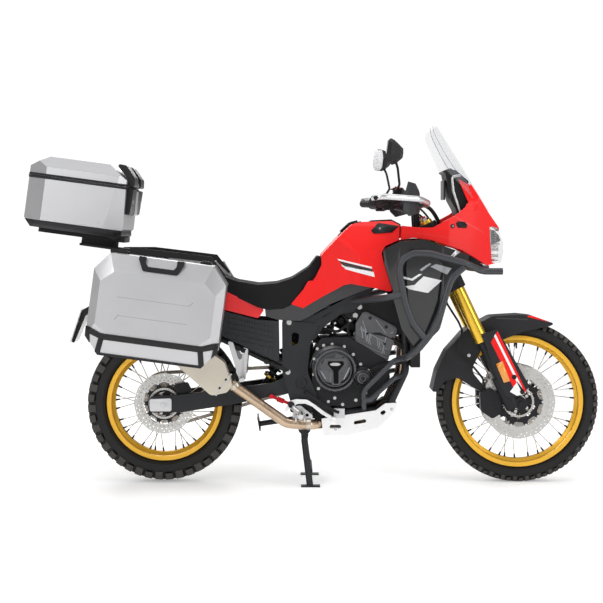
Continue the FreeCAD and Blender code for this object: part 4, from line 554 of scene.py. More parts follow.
def trimTo(shape, corners, view="side"):
    # keeps what lies inside a convex outline
    across, up, along = viewAxes[view]
    area = sum(Vector(back).cross(Vector(here)) for back, here in zip(corners, corners[1:] + corners[:1]))
    outline = corners if area > 0 else corners[::-1]
    for start, end in zip(outline, outline[1:] + outline[:1]):
        run = Vector(end) - Vector(start)
        cutAway(shape, across * start[0] + up * start[1], across * run.y - up * run.x)


def patchOf(node, side, corners, lift, view, facing):
    # the part of a CAD surface inside a convex outline, lifted off it
    shape = copyOf(node)
    away = [face for face in shape.faces if face.normal.dot(viewAxes[view][2]) * side < facing]
    bmesh.ops.delete(shape, geom=away, context="FACES")
    trimTo(shape, corners, view)
    liftOff(shape, lift)
    return shape


def addPatches(name, node, outlines, finish, lift=0.35, thick=0.0, view="side", facing=0.3, sides=(1, -1)):
    whole = bmesh.new()
    for side in sides:
        for corners in outlines:
            pour(patchOf(node, side, corners, lift + thick, view, facing), whole)
    piece = pieceFrom(name, whole, finish, node, closed=False)
    if thick:
        thicken(piece, thick)
    return piece


def tilted(outline, centre, angle):
    # outline drawn in a case's own frame, nose down by the case's tilt
    turn = Matrix.Rotation(-math.radians(angle), 2)
    return [tuple(Vector(centre) + turn @ Vector(corner[:2])) + tuple(corner[2:]) for corner in outline]


def lookAt(thing, place, target):
    thing.location = place
    thing.rotation_euler = (Vector(target) - Vector(place)).to_track_quat("-Z", "Y").to_euler()


def setUpStudio():
    camera = bpy.data.objects.new("camera", bpy.data.cameras.new("camera"))
    scene.collection.objects.link(camera)
    place = Vector(cameraSetup["place"])
    lookAt(camera, place, place + Vector((0, 1, 0)))
    camera.data.lens = cameraSetup["lens"]
    camera.data.shift_x, camera.data.shift_y = cameraSetup["shift"]
    camera.data.clip_end = 100
    scene.camera = camera
    for name, place, target, size, power in studio["areas"]:
        light = bpy.data.objects.new(name, bpy.data.lights.new(name, "AREA"))
        light.data.shape = "RECTANGLE"
        light.data.size, light.data.size_y = size
        light.data.energy = power
        lookAt(light, place, target)
        scene.collection.objects.link(light)
    world = bpy.data.worlds.new("studioWorld")
    world.use_nodes = True
    tree = world.node_tree
    background = tree.nodes["Background"]
    background.inputs["Color"].default_value = (1, 1, 1, 1)
    seen = tree.nodes.new("ShaderNodeLightPath").outputs["Is Camera Ray"]
    # the light comes mostly from above, as from a studio ceiling
    height = splitVector(tree, tree.nodes.new("ShaderNodeTexCoord").outputs["Generated"])[2]
    share = tree.nodes.new("ShaderNodeMapRange")
    share.inputs["From Min"].default_value, share.inputs["From Max"].default_value = -0.25, 0.85
    low, high = studio["lighting"]
    share.inputs["To Min"].default_value, share.inputs["To Max"].default_value = low, high
    tree.links.new(height, share.inputs["Value"])
    lighting = share.outputs["Result"]
    gap = mathNode(tree, "SUBTRACT", studio["seen"], lighting)
    feed(tree, background.inputs["Strength"], mathNode(tree, "MULTIPLY_ADD", seen, gap, lighting))
    scene.world = world
    scene.view_settings.view_transform = "Standard"
    ground = bmesh.new()
    bmesh.ops.create_grid(ground, x_segments=1, y_segments=1, size=studio["floorSize"] * 500)
    pieceFrom("floor", ground, "floorPale")
    print("studio set up")


setUpStudio()
for node, look in dressing.items():
    dressNode(node, *look)
print("CAD nodes dressed", len(dressing))


# wheels: tyre, nipples, discs and carriers, all about the axle

wheels = {
    "front": {"centre": (868, 0, 345), "rim": 281, "tip": 345, "half": 46, "lugs": 80, "lugLength": 0.60,
              "root": 8.0, "wrap": 25, "wall": 27, "hubHalf": 40.0},
    "rear": {"centre": (-642, 0, 339), "rim": 247, "tip": 329, "half": 71, "lugs": 44, "lugLength": 0.64,
             "root": 12.0, "wrap": 38, "wall": 40, "hubHalf": 46.0},
}
spokes = {"count": 18, "lead": 38.0, "flange": 46, "rimDrop": 34.7}


def buildTyre(end, size):
    rim, tip, half, wrap, wall = (size[key] for key in ("rim", "tip", "half", "wrap", "wall"))
    crown = tip - size["root"]
    flank = [(rim - 12, wall), (rim + 3, wall), (rim + 5, wall + 4), (rim + 8, 0.84 * half),
             (rim + 11, 0.91 * half), (rim + 12.5, 0.90 * half), (rim + 14, 0.93 * half),
             (tip - wrap - 8, 0.955 * half), (tip - wrap - 1, 0.94 * half), (tip - wrap + 5, 0.83 * half),
             (crown - 5, 0.66 * half), (crown, 0.40 * half), (crown, 0)]
    profile = flank + [(radius, -along) for radius, along in flank[-2::-1]]
    carcass = makePiece(end + "_tyre_carcass", "tyreRubber", end + "_tyre",
                        [(addSpin, profile, size["centre"], 144)], sharp=25)
    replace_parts(carcass, end + "_tyre")
    tread = bmesh.new()
    step = 2 * math.pi / size["lugs"]
    long = size["lugLength"] * step * tip / 2
    for side in (1, -1):
        for turn, deep in ((0, wrap), (1, wrap - 7)):
            lug = bmesh.new()
            outline = [(0.46, tip - 0.4), (0.80, tip - 2.5), (0.94, tip - 0.12 * half), (1.0, tip - deep + 5),
                       (0.985, tip - deep), (0.84, tip - deep + 2), (0.46, crown - 3)]
            addPlate(lug, [(side * share * half, radius) for share, radius in outline], -long, long,
                     view="front")
            middle = bmesh.new()
            inner, outer = (0.03, 0.41) if turn else (-0.10, 0.36)
            addBlock(middle, (-long * 0.85, side * inner * half, crown - 4),
                     (long * 0.85, side * outer * half, tip - 0.3))
            start = turn * step + (0.0 if side > 0 else step / 2)
            for part, shift in ((lug, start), (middle, start + step * 0.5)):
                bmesh.ops.recalc_face_normals(part, faces=part.faces)
                rims = [edge for edge in part.edges if edge.calc_face_angle(0) > 0.3]
                bmesh.ops.bevel(part, geom=rims, offset=0.8, affect="EDGES", segments=1, profile=0.5,
                                material=-1)
                addAround(tread, part, size["centre"], size["lugs"] // 2, shift)
                part.free()
    pieceFrom(end + "_tyre_lugs", tread, "treadRubber", end + "_tyre", sharp=30)


def buildNipples(end, size):
    centre = Vector(size["centre"])
    outer = size["rim"] - spokes["rimDrop"]
    flange = spokes["flange"]
    parts = []
    for index in range(spokes["count"]):
        for side in (1, -1):
            lead = 1 if index % 2 else -1
            shift = 2.5 + 2.5 * lead
            angle = math.radians((index + (0.5 if side < 0 else 0.0)) * 360.0 / spokes["count"])
            reach = angle + math.radians(spokes["lead"]) * lead
            foot = Vector((flange * math.cos(angle), side * (size["hubHalf"] - 4.0 - shift),
                           flange * math.sin(angle)))
            tip = Vector((outer * math.cos(reach), side * (8.0 - shift), outer * math.sin(reach)))
            run = (tip - foot).normalized()
            parts.append((addRod, centre + tip - run * 16, centre + tip + run * 1.0, 3.4, 8, 4.2))
            parts.append((addRod, centre + foot + run * 3, centre + foot - run * 4, 3.4, 8, 3.0))
    valve = Vector((0, 0, 1))
    parts.append((addRod, centre + valve * (outer + 2), centre + valve * (outer - 24), 4.2, 12, 3.4))
    makePiece(end + "_nipples", "castBlack", end + "_hub_spokes", parts, sharp=40)


def buildHubFace(end, size, side):
    # flange ring of spoke heads and the turned steps of the hub barrel
    half = size["hubHalf"]
    profile = [(49, half - 10), (52.5, half - 9), (52.5, half - 2), (49, half - 0.5), (34, half + 0.6),
               (34, half - 10)]
    profile = [(radius, side * along) for radius, along in profile]
    makePiece(end + "_hub_flange" + ("_left" if side > 0 else "_right"), "castBlack", end + "_hub_spokes",
              [(addSpin, profile, size["centre"], 72)], sharp=30)


discs = {
    "front": {"node": "front_discs", "radius": 157, "band": 52, "faces": ((58, 63), (-63, -58))},
    "rear": {"node": "rear_disc", "radius": 129, "band": 40, "faces": ((-65, -60),)},
}
discForm = {"waves": 12, "depth": 2.4, "holes": 36, "rows": (9.0, 20.0, 31.0), "arms": 10, "windows": 5,
            "toothRing": (57.5, 62, 66), "teeth": 40}


def buildDisc(end, size, disc):
    centre = Vector(size["centre"])
    middle = (centre.x, centre.z)
    steel = bmesh.new()
    black = bmesh.new()
    bolts = bmesh.new()
    radius = disc["radius"]
    inner = radius - disc["band"]
    waves, depth, arms = discForm["waves"], discForm["depth"], discForm["arms"]
    for low, high in disc["faces"]:
        turns = [2 * math.pi * step / 144 for step in range(144)]
        outline = [around(*middle, radius - depth * (0.5 - 0.5 * math.cos(waves * turn)), turn)
                   for turn in turns]
        turns = [2 * math.pi * step / 96 for step in range(96)]
        holes = [[around(*middle, inner + 2.0 * math.cos(waves * turn), turn) for turn in turns]]
        for index in range(discForm["holes"]):
            for row, drop in enumerate(discForm["rows"]):
                turn = 2 * math.pi * (index + 0.5 * row) / discForm["holes"]
                holes.append(circle(*around(*middle, radius - drop, turn), 2.9, 8))
        addPlate(steel, outline, low + 0.3, high - 0.3, holes)
        # carrier: ring and arms with slots between them
        windows = [circle(*middle, 33.0, 32)]
        for index in range(discForm["windows"]):
            turn = 2 * math.pi * (index + 0.5) / discForm["windows"]
            windows.append(windowOutline(middle, 50, inner - 29, turn, 0.46))
        addPlate(black, carrierOutline(middle, inner, arms), low + 0.8, high - 0.8, windows)
        outside = high if high > 0 else low
        face = Vector((0, 1 if high > 0 else -1, 0))
        for index in range(arms):
            turn = 2 * math.pi * index / arms
            place = centre + Vector(((inner - 1) * math.cos(turn), outside, (inner - 1) * math.sin(turn)))
            addRod(bolts, place - face * 2, place + face * 1.2, 6.2, 18)
            if index % 2:
                place = centre + Vector((42 * math.cos(turn), outside, 42 * math.sin(turn)))
                addBolt(bolts, place, face, 4.6, 1.6)
        # toothed sensor ring inside the carrier
        near, line, far = discForm["toothRing"]
        turns = [2 * math.pi * index / discForm["teeth"] for index in range(discForm["teeth"])]
        teeth = [circle(*around(*middle, line, turn), 2.0, 4, turn) for turn in turns]
        addPlate(steel, circle(*middle, far, 64), outside - face.y * 1.8, outside - face.y * 0.2,
                 teeth + [circle(*middle, near, 64)])
    piece = pieceFrom(end + "_disc_ring", steel, "discSteel", disc["node"], sharp=30)
    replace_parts(piece, disc["node"])
    pieceFrom(end + "_disc_carrier", black, "castBlack", disc["node"], sharp=30)
    pieceFrom(end + "_disc_bolts", bolts, "bareSteel", disc["node"], sharp=30)


def carrierOutline(middle, inner, arms):
    # a ring with a short arm to each button of the floating disc
    flank = [(0.06, 4), (0.13, -2), (0.20, -15), (0.34, -18)]
    steps = [(-0.5, -18)] + [(-turn, rise) for turn, rise in flank[::-1]] + flank
    return [around(*middle, inner + rise, 2 * math.pi * (index + turn) / arms)
            for index in range(arms) for turn, rise in steps]


def windowOutline(middle, low, high, turn, width):
    corners = ((low, -width), (low, width), (high, width * 0.85), (high, -width * 0.85))
    return rounded([(*around(*middle, reach, turn + spread), 6) for reach, spread in corners], 3)


for end, size in wheels.items():
    buildTyre(end, size)
    buildNipples(end, size)
    for side in (1, -1):
        buildHubFace(end, size, side)
    buildDisc(end, size, discs[end])
print("wheels done")


# luggage: seams, corner guards, handles and latches in each case's own tilted frame

caseTilt = 7.6
pannier = {
    "centre": (-643, 757), "halfHeight": 205, "seam": 302.2, "guardThick": 4.0,
    "guard": [
        [(-252, -98), (-198, -118), (-198, -140), (-262, -120)],
        [(-198, -116), (198, -116), (198, -140), (-198, -140)],
        [(198, -118), (252, -98), (262, -120), (198, -140)],
        [(-266, -96), (-252, -98), (-240, -204), (-266, -160)],
        [(252, -98), (266, -96), (266, -160), (240, -204)],
        [(-210, -138), (-188, -138), (-200, -206), (-222, -206)],
        [(188, -138), (210, -138), (222, -206), (200, -206)],
        [(-222, -190), (-240, -176), (-250, -196), (-222, -206)],
        [(222, -190), (240, -176), (250, -196), (222, -206)],
        [(-200, -196), (200, -196), (200, -206), (-200, -206)],
    ],
    "handle": [(-91, 208, 4), (-91, 196, 6), (-70, 150, 12), (70, 150, 12), (91, 196, 6), (91, 208, 4),
               (62, 208, 4), (62, 184, 8), (52, 170, 6), (-52, 170, 6), (-62, 184, 8), (-62, 208, 4)],
    "bandLines": [
        [(-156, 34), (132, 34), (132, 37), (-156, 37)], [(132, 34), (148, 51), (145, 54), (129, 37)],
        [(-146, -36), (134, -36), (134, -39), (-146, -39)],
        [(-146, -36), (-158, -54), (-155, -57), (-143, -39)]],
    "latchAlong": (-170, 170),
}


def caseFrame(centre):
    return Matrix.Translation((centre[0], 0, centre[1])) @ Matrix.Rotation(math.radians(caseTilt), 4, "Y")


def dropFaces(node, test):
    mesh = shells[node].data
    shape = bmesh.new()
    shape.from_mesh(mesh)
    gone = [face for face in shape.faces if test(face.calc_center_median() * 1000.0)]
    bmesh.ops.delete(shape, geom=gone, context="FACES")
    shape.to_mesh(mesh)
    shape.free()


def buildPannier(name, side):
    lid = "pannier_lid_" + name
    body = "pannier_body_" + name
    centre = pannier["centre"]
    seam = pannier["seam"]
    guards = [tilted(corners, centre, caseTilt) for corners in pannier["guard"]]
    softenEdges(addPatches(lid + "_guard", lid, guards, "caseBlack", 0.4, pannier["guardThick"],
                           facing=0.05, sides=(side,)), 1.2)
    lines = [tilted(corners, centre, caseTilt) for corners in pannier["bandLines"]]
    addPatches(lid + "_band", lid, lines, "stripeGrey", 0.25, sides=(side,))
    # carry handle: a flat loop hooked over the upper bevel
    outline = rounded(tilted(pannier["handle"], centre, caseTilt), 3)
    makePiece(lid + "_handle", "caseBlack", lid, [(addPlate, outline, side * 440, side * 477)], 3.0)
    # rubber seal and edge trim either side of the seam
    across = Matrix.Rotation(math.radians(-90 * side), 4, "X")
    bandOf(body + "_seal", body, seam - 9, seam - 0.4, 1.6, "caseBlack", across)
    bandOf(lid + "_trim", lid, seam + 0.4, seam + 8, 1.6, "caseBlack", across)
    # the folded handle takes the place of the upright carry bar
    level = caseFrame(centre).inverted()
    dropFaces(lid, lambda spot: (level @ spot).z > pannier["halfHeight"] + 0.5)
    # two latches on the top
    parts = []
    for along in pannier["latchAlong"]:
        place = caseFrame(tilted([(along, pannier["halfHeight"])], centre, caseTilt)[0])
        parts += [(addBlock, (-24, side * 304, -4), (24, side * 340, 9), place),
                  (addBlock, (-16, side * 318, 7), (16, side * 336, 13), place)]
    makePiece(lid + "_latches", "caseBlack", lid, parts, 2.0)


buildPannier("right", -1)
buildPannier("left", 1)

topCase = {
    "centre": (-992.5, 1070), "front": 181, "half": 270, "seam": 212.2, "lean": 46, "wallFrom": 90,
    "base": [(-225, 40, 12), (-196, -2, 12), (132, -3, 14), (160, -13, 10), (184, 4, 10), (180, 28, 12),
             (150, 33, 6), (128, 40, 6)],
    "latches": {
        "top_case_body": [(170, 98, 4), (206, 98, 10), (209, 206, 6), (176, 209, 4)],
        "top_case_lid": [(178, 216, 4), (212, 216, 8), (208, 254, 16), (166, 302, 10), (136, 304, 6),
                         (132, 294, 2), (178, 249, 4)]},
}


def standSquare(mesh, place):
    # the wall towards the rider stands square to the base
    back = place.inverted()
    for vert in mesh.vertices:
        spot = back @ (vert.co * 1000.0)
        if spot.x > topCase["wallFrom"]:
            spot.x -= topCase["lean"] * max(0.0, 1 - spot.z / topCase["seam"])
            vert.co = (place @ spot) / 1000.0


def buildTopCase():
    place = caseFrame(topCase["centre"])
    seam, half, front = topCase["seam"], topCase["half"], topCase["front"]
    standSquare(shells["top_case_body"].data, place)
    bandOf("top_case_seal", "top_case_body", seam - 11, seam - 0.4, 1.8, "caseBlack", place)
    bandOf("top_case_trim", "top_case_lid", seam + 0.6, seam + 10, 1.8, "caseBlack", place)
    spots = [(x, side * half, level, (0, side, 0))
             for x in (-140, 92) for side in (1, -1) for level in (52, 190)]
    spots += [(front, y, 44, (1, 0, 0)) for y in (-170, -140, -110, 110, 140, 170)]
    rivets = []
    for x, y, z, heading in spots:
        spot, turned = place @ Vector((x, y, z)), place.to_3x3() @ Vector(heading)
        rivets.append((addRod, spot - turned * 2, spot + turned * 1.2, 3.4, 12, 2.4))
    makePiece("top_case_rivets", "bareSteel", "top_case_body", rivets)
    # moulded foot under the case
    makePiece("top_case_foot", "caseBlack", "top_case_body",
              [(addPlate, rounded(topCase["base"], 4), -196, 196)], 3.0, place=place)
    plinth = bandOf("top_case_plinth", "top_case_body", -2, 29, 1.0, "softBlack", place)
    standSquare(plinth.data, place)
    # two over-centre latches, each a catch on the body and a cap on the lid
    for node, outline in topCase["latches"].items():
        makePiece(node + "_latches", "caseBlack", node, [(addPair, rounded(outline, 3), 52, 196)], 4.0, 3,
                  place=place)
    locks = [(addRod, (206, side * 147, 150), (209.5, side * 147, 150), 11, 24) for side in (1, -1)]
    makePiece("top_case_locks", "bareSteel", "top_case_body", locks, place=place)


buildTopCase()
# painted shade: the upward faces of the top case lid and the pannier lids take a darker copy of the case
# silver
paint("top_case_lid", "casePaintedShade", lambda spot, normal: normal.z > 0.35)
for node in ("pannier_lid_left", "pannier_lid_right"):
    paint(node, "casePaintedShade", lambda spot, normal: normal.z > 0.5)
print("cases done")


# small parts set on CAD surfaces

trees = {}


def surfaceY(node, x, z, side, fallback=None):
    # where a straight look from one side meets a CAD node, in millimetres
    if node not in trees:
        shape = copyOf(node)
        trees[node] = BVHTree.FromBMesh(shape)
        shape.free()
    spot = trees[node].ray_cast(Vector((x, side * 2000.0, z)), Vector((0, -side, 0)))[0]
    return spot.y if spot else fallback


def boltsOn(name, node, spots, radius, height, finish, sides=(-1, 1), under=()):
    # bolt heads on the outermost of the nodes under them
    parts = []
    for x, z in spots:
        for side in sides:
            hits = [surfaceY(base, x, z, side) for base in under or (node,)]
            hits = [hit for hit in hits if hit is not None and hit * side > 0]
            if hits:
                parts.append((addBolt, (x, max(hits, key=abs), z), (0, side, 0), radius, height))
    makePiece(name, finish, node, parts, sharp=30)


def ribsOn(name, node, lines, radius, finish, sides=(-1, 1)):
    # raised casting lines that follow a side of a node
    parts = []
    for side in sides:
        for line in lines:
            ends = [(x, surfaceY(node, x, z, side), z) for x, z in line]
            if all(spot[1] is not None for spot in ends):
                parts.append((addRod, *ends, radius, 8))
    makePiece(name, finish, node, parts, sharp=40)


# tank, shrouds and fairing

filler = (150, 0)
addPatches("tank_stripes_white", "tank", [
    [(93, 957), (235, 924), (236, 916), (99, 949)], [(107, 932), (243, 902), (248, 881), (128, 913)]],
    "stripeWhite", facing=0.1)
addPatches("tank_stripes_dark", "tank", [[(97, 948), (236, 915), (240, 904), (124, 924)]], "glossBlack",
           facing=0.1)
addPatches("tank_side_trim", "tank", [[(235, 1075), (247, 1061), (322, 1067), (352, 1094), (266, 1106)]],
           "softBlack", thick=2.0, facing=0.05)
boltsOn("tank_trim_screws", "tank", [(272, 1082)], 4.5, 3.0, "bareSteel")
addPatches("filler_flange", "tank", [circle(*filler, 50, 20)], "castBlack", 0.35, 3.0, "plan", sides=(1,))
addPatches("filler_cap", "tank", [circle(*filler, 36, 20)], "softBlack", 4.0, 7.0, "plan", sides=(1,))

addPatches("shroud_white", "shrouds", [
    [(371, 845), (386, 833), (465, 817), (410, 851)],
    [(410, 851), (465, 817), (513, 860), (523, 869), (447, 886)],
    [(362, 886), (362, 877), (401, 868), (398, 877)],
    [(398, 877), (401, 868), (441, 895), (429, 896)]], "stripeWhite")
addPatches("shroud_grey", "shrouds", [
    [(475, 926), (499, 937), (566, 919), (545, 893)],
    [(430, 912), (436, 918), (470, 940), (480, 938), (440, 908)]], "stripeGrey")
addPatches("shroud_tag", "shrouds", [[(560, 968), (584, 993), (606, 988), (575, 965)]], "bareAlloy",
           thick=1.0)

addPatches("fairing_socket", "fairing", [
    [(588, 1106), (598, 1114), (626, 1112), (638, 1099), (634, 1086), (598, 1087)]], "mattBlack", thick=3.0,
    facing=0.05)
addPatches("fairing_screw", "fairing", [circle(573, 1094, 9, 12)], "mattBlack", thick=2.0, facing=0.05)
boltsOn("fairing_bolts", "fairing", [(573, 1094)], 4.0, 3.0, "bareSteel")
addPatches("fairing_seams", "fairing", [
    [(560, 1142), (562, 1146), (716, 1068), (714, 1064)],
    [(420, 1064), (421, 1067), (560, 1046), (560, 1043)]], "tailRed", 0.6, facing=0.05)


# head lamp: dark housing above, bright reflectors below, seen through the lens

lamp = {
    "upper": [(745, 1075, 4), (762, 1078, 6), (783, 1056, 8), (792, 1030, 6), (746, 1016, 4)],
    "band": [(744, 1012, 2), (788, 1024, 4), (786, 1014, 4), (744, 1002, 2)],
    "reflectors": [(990, 24), (962, 17)],
}


def reflector(radius):
    return [(radius, 30), (radius * 0.8, 14), (radius * 0.4, 4), (3, 0), (3, -4), (radius + 2, -4),
            (radius + 2, 30)]


makePiece("lamp_upper", "glossBlack", "headlight", [(addPlate, rounded(lamp["upper"], 3), -62, 62)], 2.0)
makePiece("lamp_reflectors", "chrome", "headlight", [
    (addSpin, reflector(radius), (752, side * 36, z), 40, True, (1, 0, 0))
    for side in (-1, 1) for z, radius in lamp["reflectors"]])
makePiece("lamp_band", "bareAlloy", "headlight", [(addPlate, rounded(lamp["band"], 3), -66, 66)])
makePiece("lamp_housing", "stripeGrey", "headlight", [(addBlock, (744, -70, 944), (750, 70, 1080))])


# fork guards and mudguard

addPatches("guard_red", "fork_guards", [[(739, 606), (767, 653), (899, 375), (848, 385)]], "redPaint")
addPatches("guard_white", "fork_guards", [
    [(819, 397), (850, 440), (899, 375), (847, 381)], [(752, 632), (758, 640), (884, 388), (872, 388)]],
    "stripeWhite", 0.6)
addPatches("guard_reflectors", "fork_guards", [[(760, 514), (788, 527), (819, 443), (793, 435)]],
           "amber", 0.5, 3.0)
boltsOn("guard_bolts", "fork_guards", [(837, 459), (871, 397)], 7.0, 4.0, "mattBlack")
addPatches("mudguard_line", "front_mudguard", [[(905, 718), (1020, 689), (1020, 681), (905, 707)]],
           "redPaint", 0.5, facing=0.02)
addPatches("mudguard_crease", "front_mudguard", [[(770, 700), (772, 704), (905, 699), (905, 695)]],
           "glossBlack", 0.5, facing=0.02)
boltsOn("mudguard_bolts", "front_mudguard", [(655, 544)], 5.0, 3.0, "bareSteel")
print("body and front trim done")


# handlebar: guards, shields, fork caps, cables, mirror glass

bars = {
    "guard": {"start": 300.0, "middle": 1189.5, "slope": 0.073, "taller": 1.4, "rise": 0.09},
    "shieldRun": [(430, 236), (422, 286), (411, 321), (397, 348), (376, 374), (348, 390)],
    "shield": [(352, 1205), (372, 1275), (404, 1268), (446, 1205), (430, 1150), (375, 1134), (350, 1160)],
    "cables": {
        "bar_cables": (8.5, [
            (392, -70, 1172), (440, -74, 1188), (486, -70, 1176), (520, -60, 1130), (540, -48, 1080),
            (548, -30, 1030)]),
        "bar_cable_thin": (4.0, [
            (380, -100, 1180), (430, -100, 1152), (470, -92, 1120), (500, -80, 1080), (520, -60, 1040)]),
        "clutch_cable": (4.5, [
            (360, 190, 1190), (420, 160, 1200), (480, 110, 1160), (515, 80, 1100), (530, 60, 1040)])},
}


def growGuards(form):
    # the silver strips of the hand guards are taller than the solids
    for vert in shells["hand_guards"].data.vertices:
        outward = abs(vert.co.y) * 1000.0 - form["start"]
        middle = form["middle"] + outward * form["slope"]
        height = vert.co.z * 1000.0
        vert.co.z = (middle + (height - middle) * form["taller"] + max(0.0, outward) * form["rise"]) / 1000.0


def buildShield(name, side):
    sheet = bmesh.new()
    verts = [sheet.verts.new((x, side * y, 1128)) for x, y in bars["shieldRun"]]
    edges = [sheet.edges.new(ends) for ends in zip(verts, verts[1:])]
    grown = bmesh.ops.extrude_edge_only(sheet, edges=edges)["geom"]
    risen = [item for item in grown if isinstance(item, bmesh.types.BMVert)]
    bmesh.ops.translate(sheet, verts=risen, vec=(0, 0, 160))
    trimTo(sheet, bars["shield"])
    shield = pieceFrom("hand_shield_" + name, sheet, "ribbedPlain", "hand_guards", closed=False)
    thicken(shield, 4.0, 0.0)
    softenEdges(shield, 1.2)


def buildMirrorGlass():
    glass = copyOf("mirrors")
    away = [face for face in glass.faces if face.calc_center_median().z < 1335 or face.normal.x > -0.8]
    bmesh.ops.delete(glass, geom=away, context="FACES")
    bmesh.ops.dissolve_limit(glass, angle_limit=0.05, verts=glass.verts, edges=glass.edges)
    liftOff(glass, 0.6)
    # the glass is a diffuse light grey, a painted reflection of the studio
    pieceFrom("mirror_glass", glass, "mirrorPaintedReflection", "mirrors", closed=False)


def buildBars():
    growGuards(bars["guard"])
    buildShield("left", 1)
    buildShield("right", -1)
    both = (1, -1)
    makePiece("guard_end_bolts", "castBlack", "hand_guards", [
        (addBolt, (236, side * 452, 1207), (0, side, 0), 6.0, 4.0) for side in both])
    makePiece("fork_caps", "goldTube", "fork_tubes", [
        (addRod, (476, side * 104, 1096), (466, side * 104, 1117), 27, 40, 25) for side in both], 1.5)
    makePiece("fork_cap_nuts", "bareSteel", "fork_tubes", [
        (addRod, (466, side * 104, 1117), (462, side * 104, 1126), 15, 6, 13) for side in both], 0.8)
    makePiece("fork_adjusters", "redAnodised", "fork_tubes", [
        (addRod, (462, side * 104, 1126), (458, side * 104, 1135), 7.5, 20, 6.5) for side in both], 0.8)
    for name, (radius, points) in bars["cables"].items():
        hosePiece(name, points, radius, "rubber", "handlebar")
    makePiece("reservoir_lid", "castBlack", "bar_controls", [
        (addBlock, (309, -268, 1244), (360, -224, 1249))], 1.5)
    makePiece("reservoir_cap", "redAnodised", "bar_controls", [
        (addBlock, (318, -262, 1249), (352, -230, 1253))], 1.5)
    pods = []
    for side in both:
        pods += [(addRod, (296, side * 236, 1190), (262, side * 292, 1193), 24, 24),
                 (addBlock, (278, side * 240, 1160), (318, side * 284, 1206))]
    makePiece("switch_pods", "castBlack", "bar_controls", pods, 3.0)
    makePiece("switch_button", "redAnodised", "bar_controls", [
        (addBlock, (270, -276, 1206), (290, -256, 1214))])
    buildMirrorGlass()
    paint("grips", "castBlack", lambda spot, normal: abs(spot.y) < 304)


forkLine = {"top": (473, 104, 1103), "run": (0.424, 0, -0.906), "thin": 24}


def forkReach(spot):
    # distance from the axis of the nearer fork leg
    x, y, z = forkLine["top"]
    away = spot - Vector((x, math.copysign(y, spot.y), z))
    run = Vector(forkLine["run"])
    return (away - run * away.dot(run)).length


buildBars()
paint("shrouds", "mattBlack", lambda spot, normal: spot.x > 520 and spot.z > 900)
paint("fork_tubes", "castBlack", lambda spot, normal: forkReach(spot) < forkLine["thin"] and spot.z < 800)
paint("rear_mudguard", "plateAlloy", lambda spot, normal: spot.x < -985 and spot.z < 745)

screen = {
    "ear": [(606, 97, 1293), (654, 95, 1267), (694, 100, 1213)],
    "bracket": [(540, 1325, 3), (567, 1338, 6), (599, 1330, 10), (652, 1283, 6), (646, 1268, 6),
                (598, 1298, 10), (571, 1303, 8)],
    "edge": [(504, 60, 1521), (500, 66, 1504), (530, 84, 1440), (572, 96, 1364), (601, 104, 1325),
             (652, 112, 1268)],
}


def buildCockpit():
    # red ears that frame the screen, its dark bracket, and the bright edge of the screen
    ears = bmesh.new()
    for side in (1, -1):
        foot = abs(surfaceY("fairing", 672, 1160, side, side * 128))
        corners = screen["ear"] + [(682, foot, 1160), (664, foot, 1164), (649, foot - 6, 1184)]
        ears.faces.new([ears.verts.new((x, side * y, z)) for x, y, z in corners])
    piece = pieceFrom("fairing_ears", ears, "redPaint", "fairing", closed=False)
    thicken(piece, 4.0)
    softenEdges(piece, 1.2)
    makePiece("screen_bracket", "mattBlack", "cockpit", [
        (addPlate, rounded(screen["bracket"], 4), -96, 96)], 3.0)
    for side, name in ((1, "left"), (-1, "right")):
        hosePiece("screen_edge_" + name, [(x, side * y, z) for x, y, z in screen["edge"]], 0.9, "edgeBlue",
                  "windscreen", 3)
    makePiece("dial_screen", "dialGlass", "cockpit", [(addBlock, (548, -62, 1205), (556, 62, 1290))], 2.0)


buildCockpit()
print("bars done")


# engine: cover castings, bolts, head lines and the hoses above it; outlines as (x, z) or (x, z, radius)

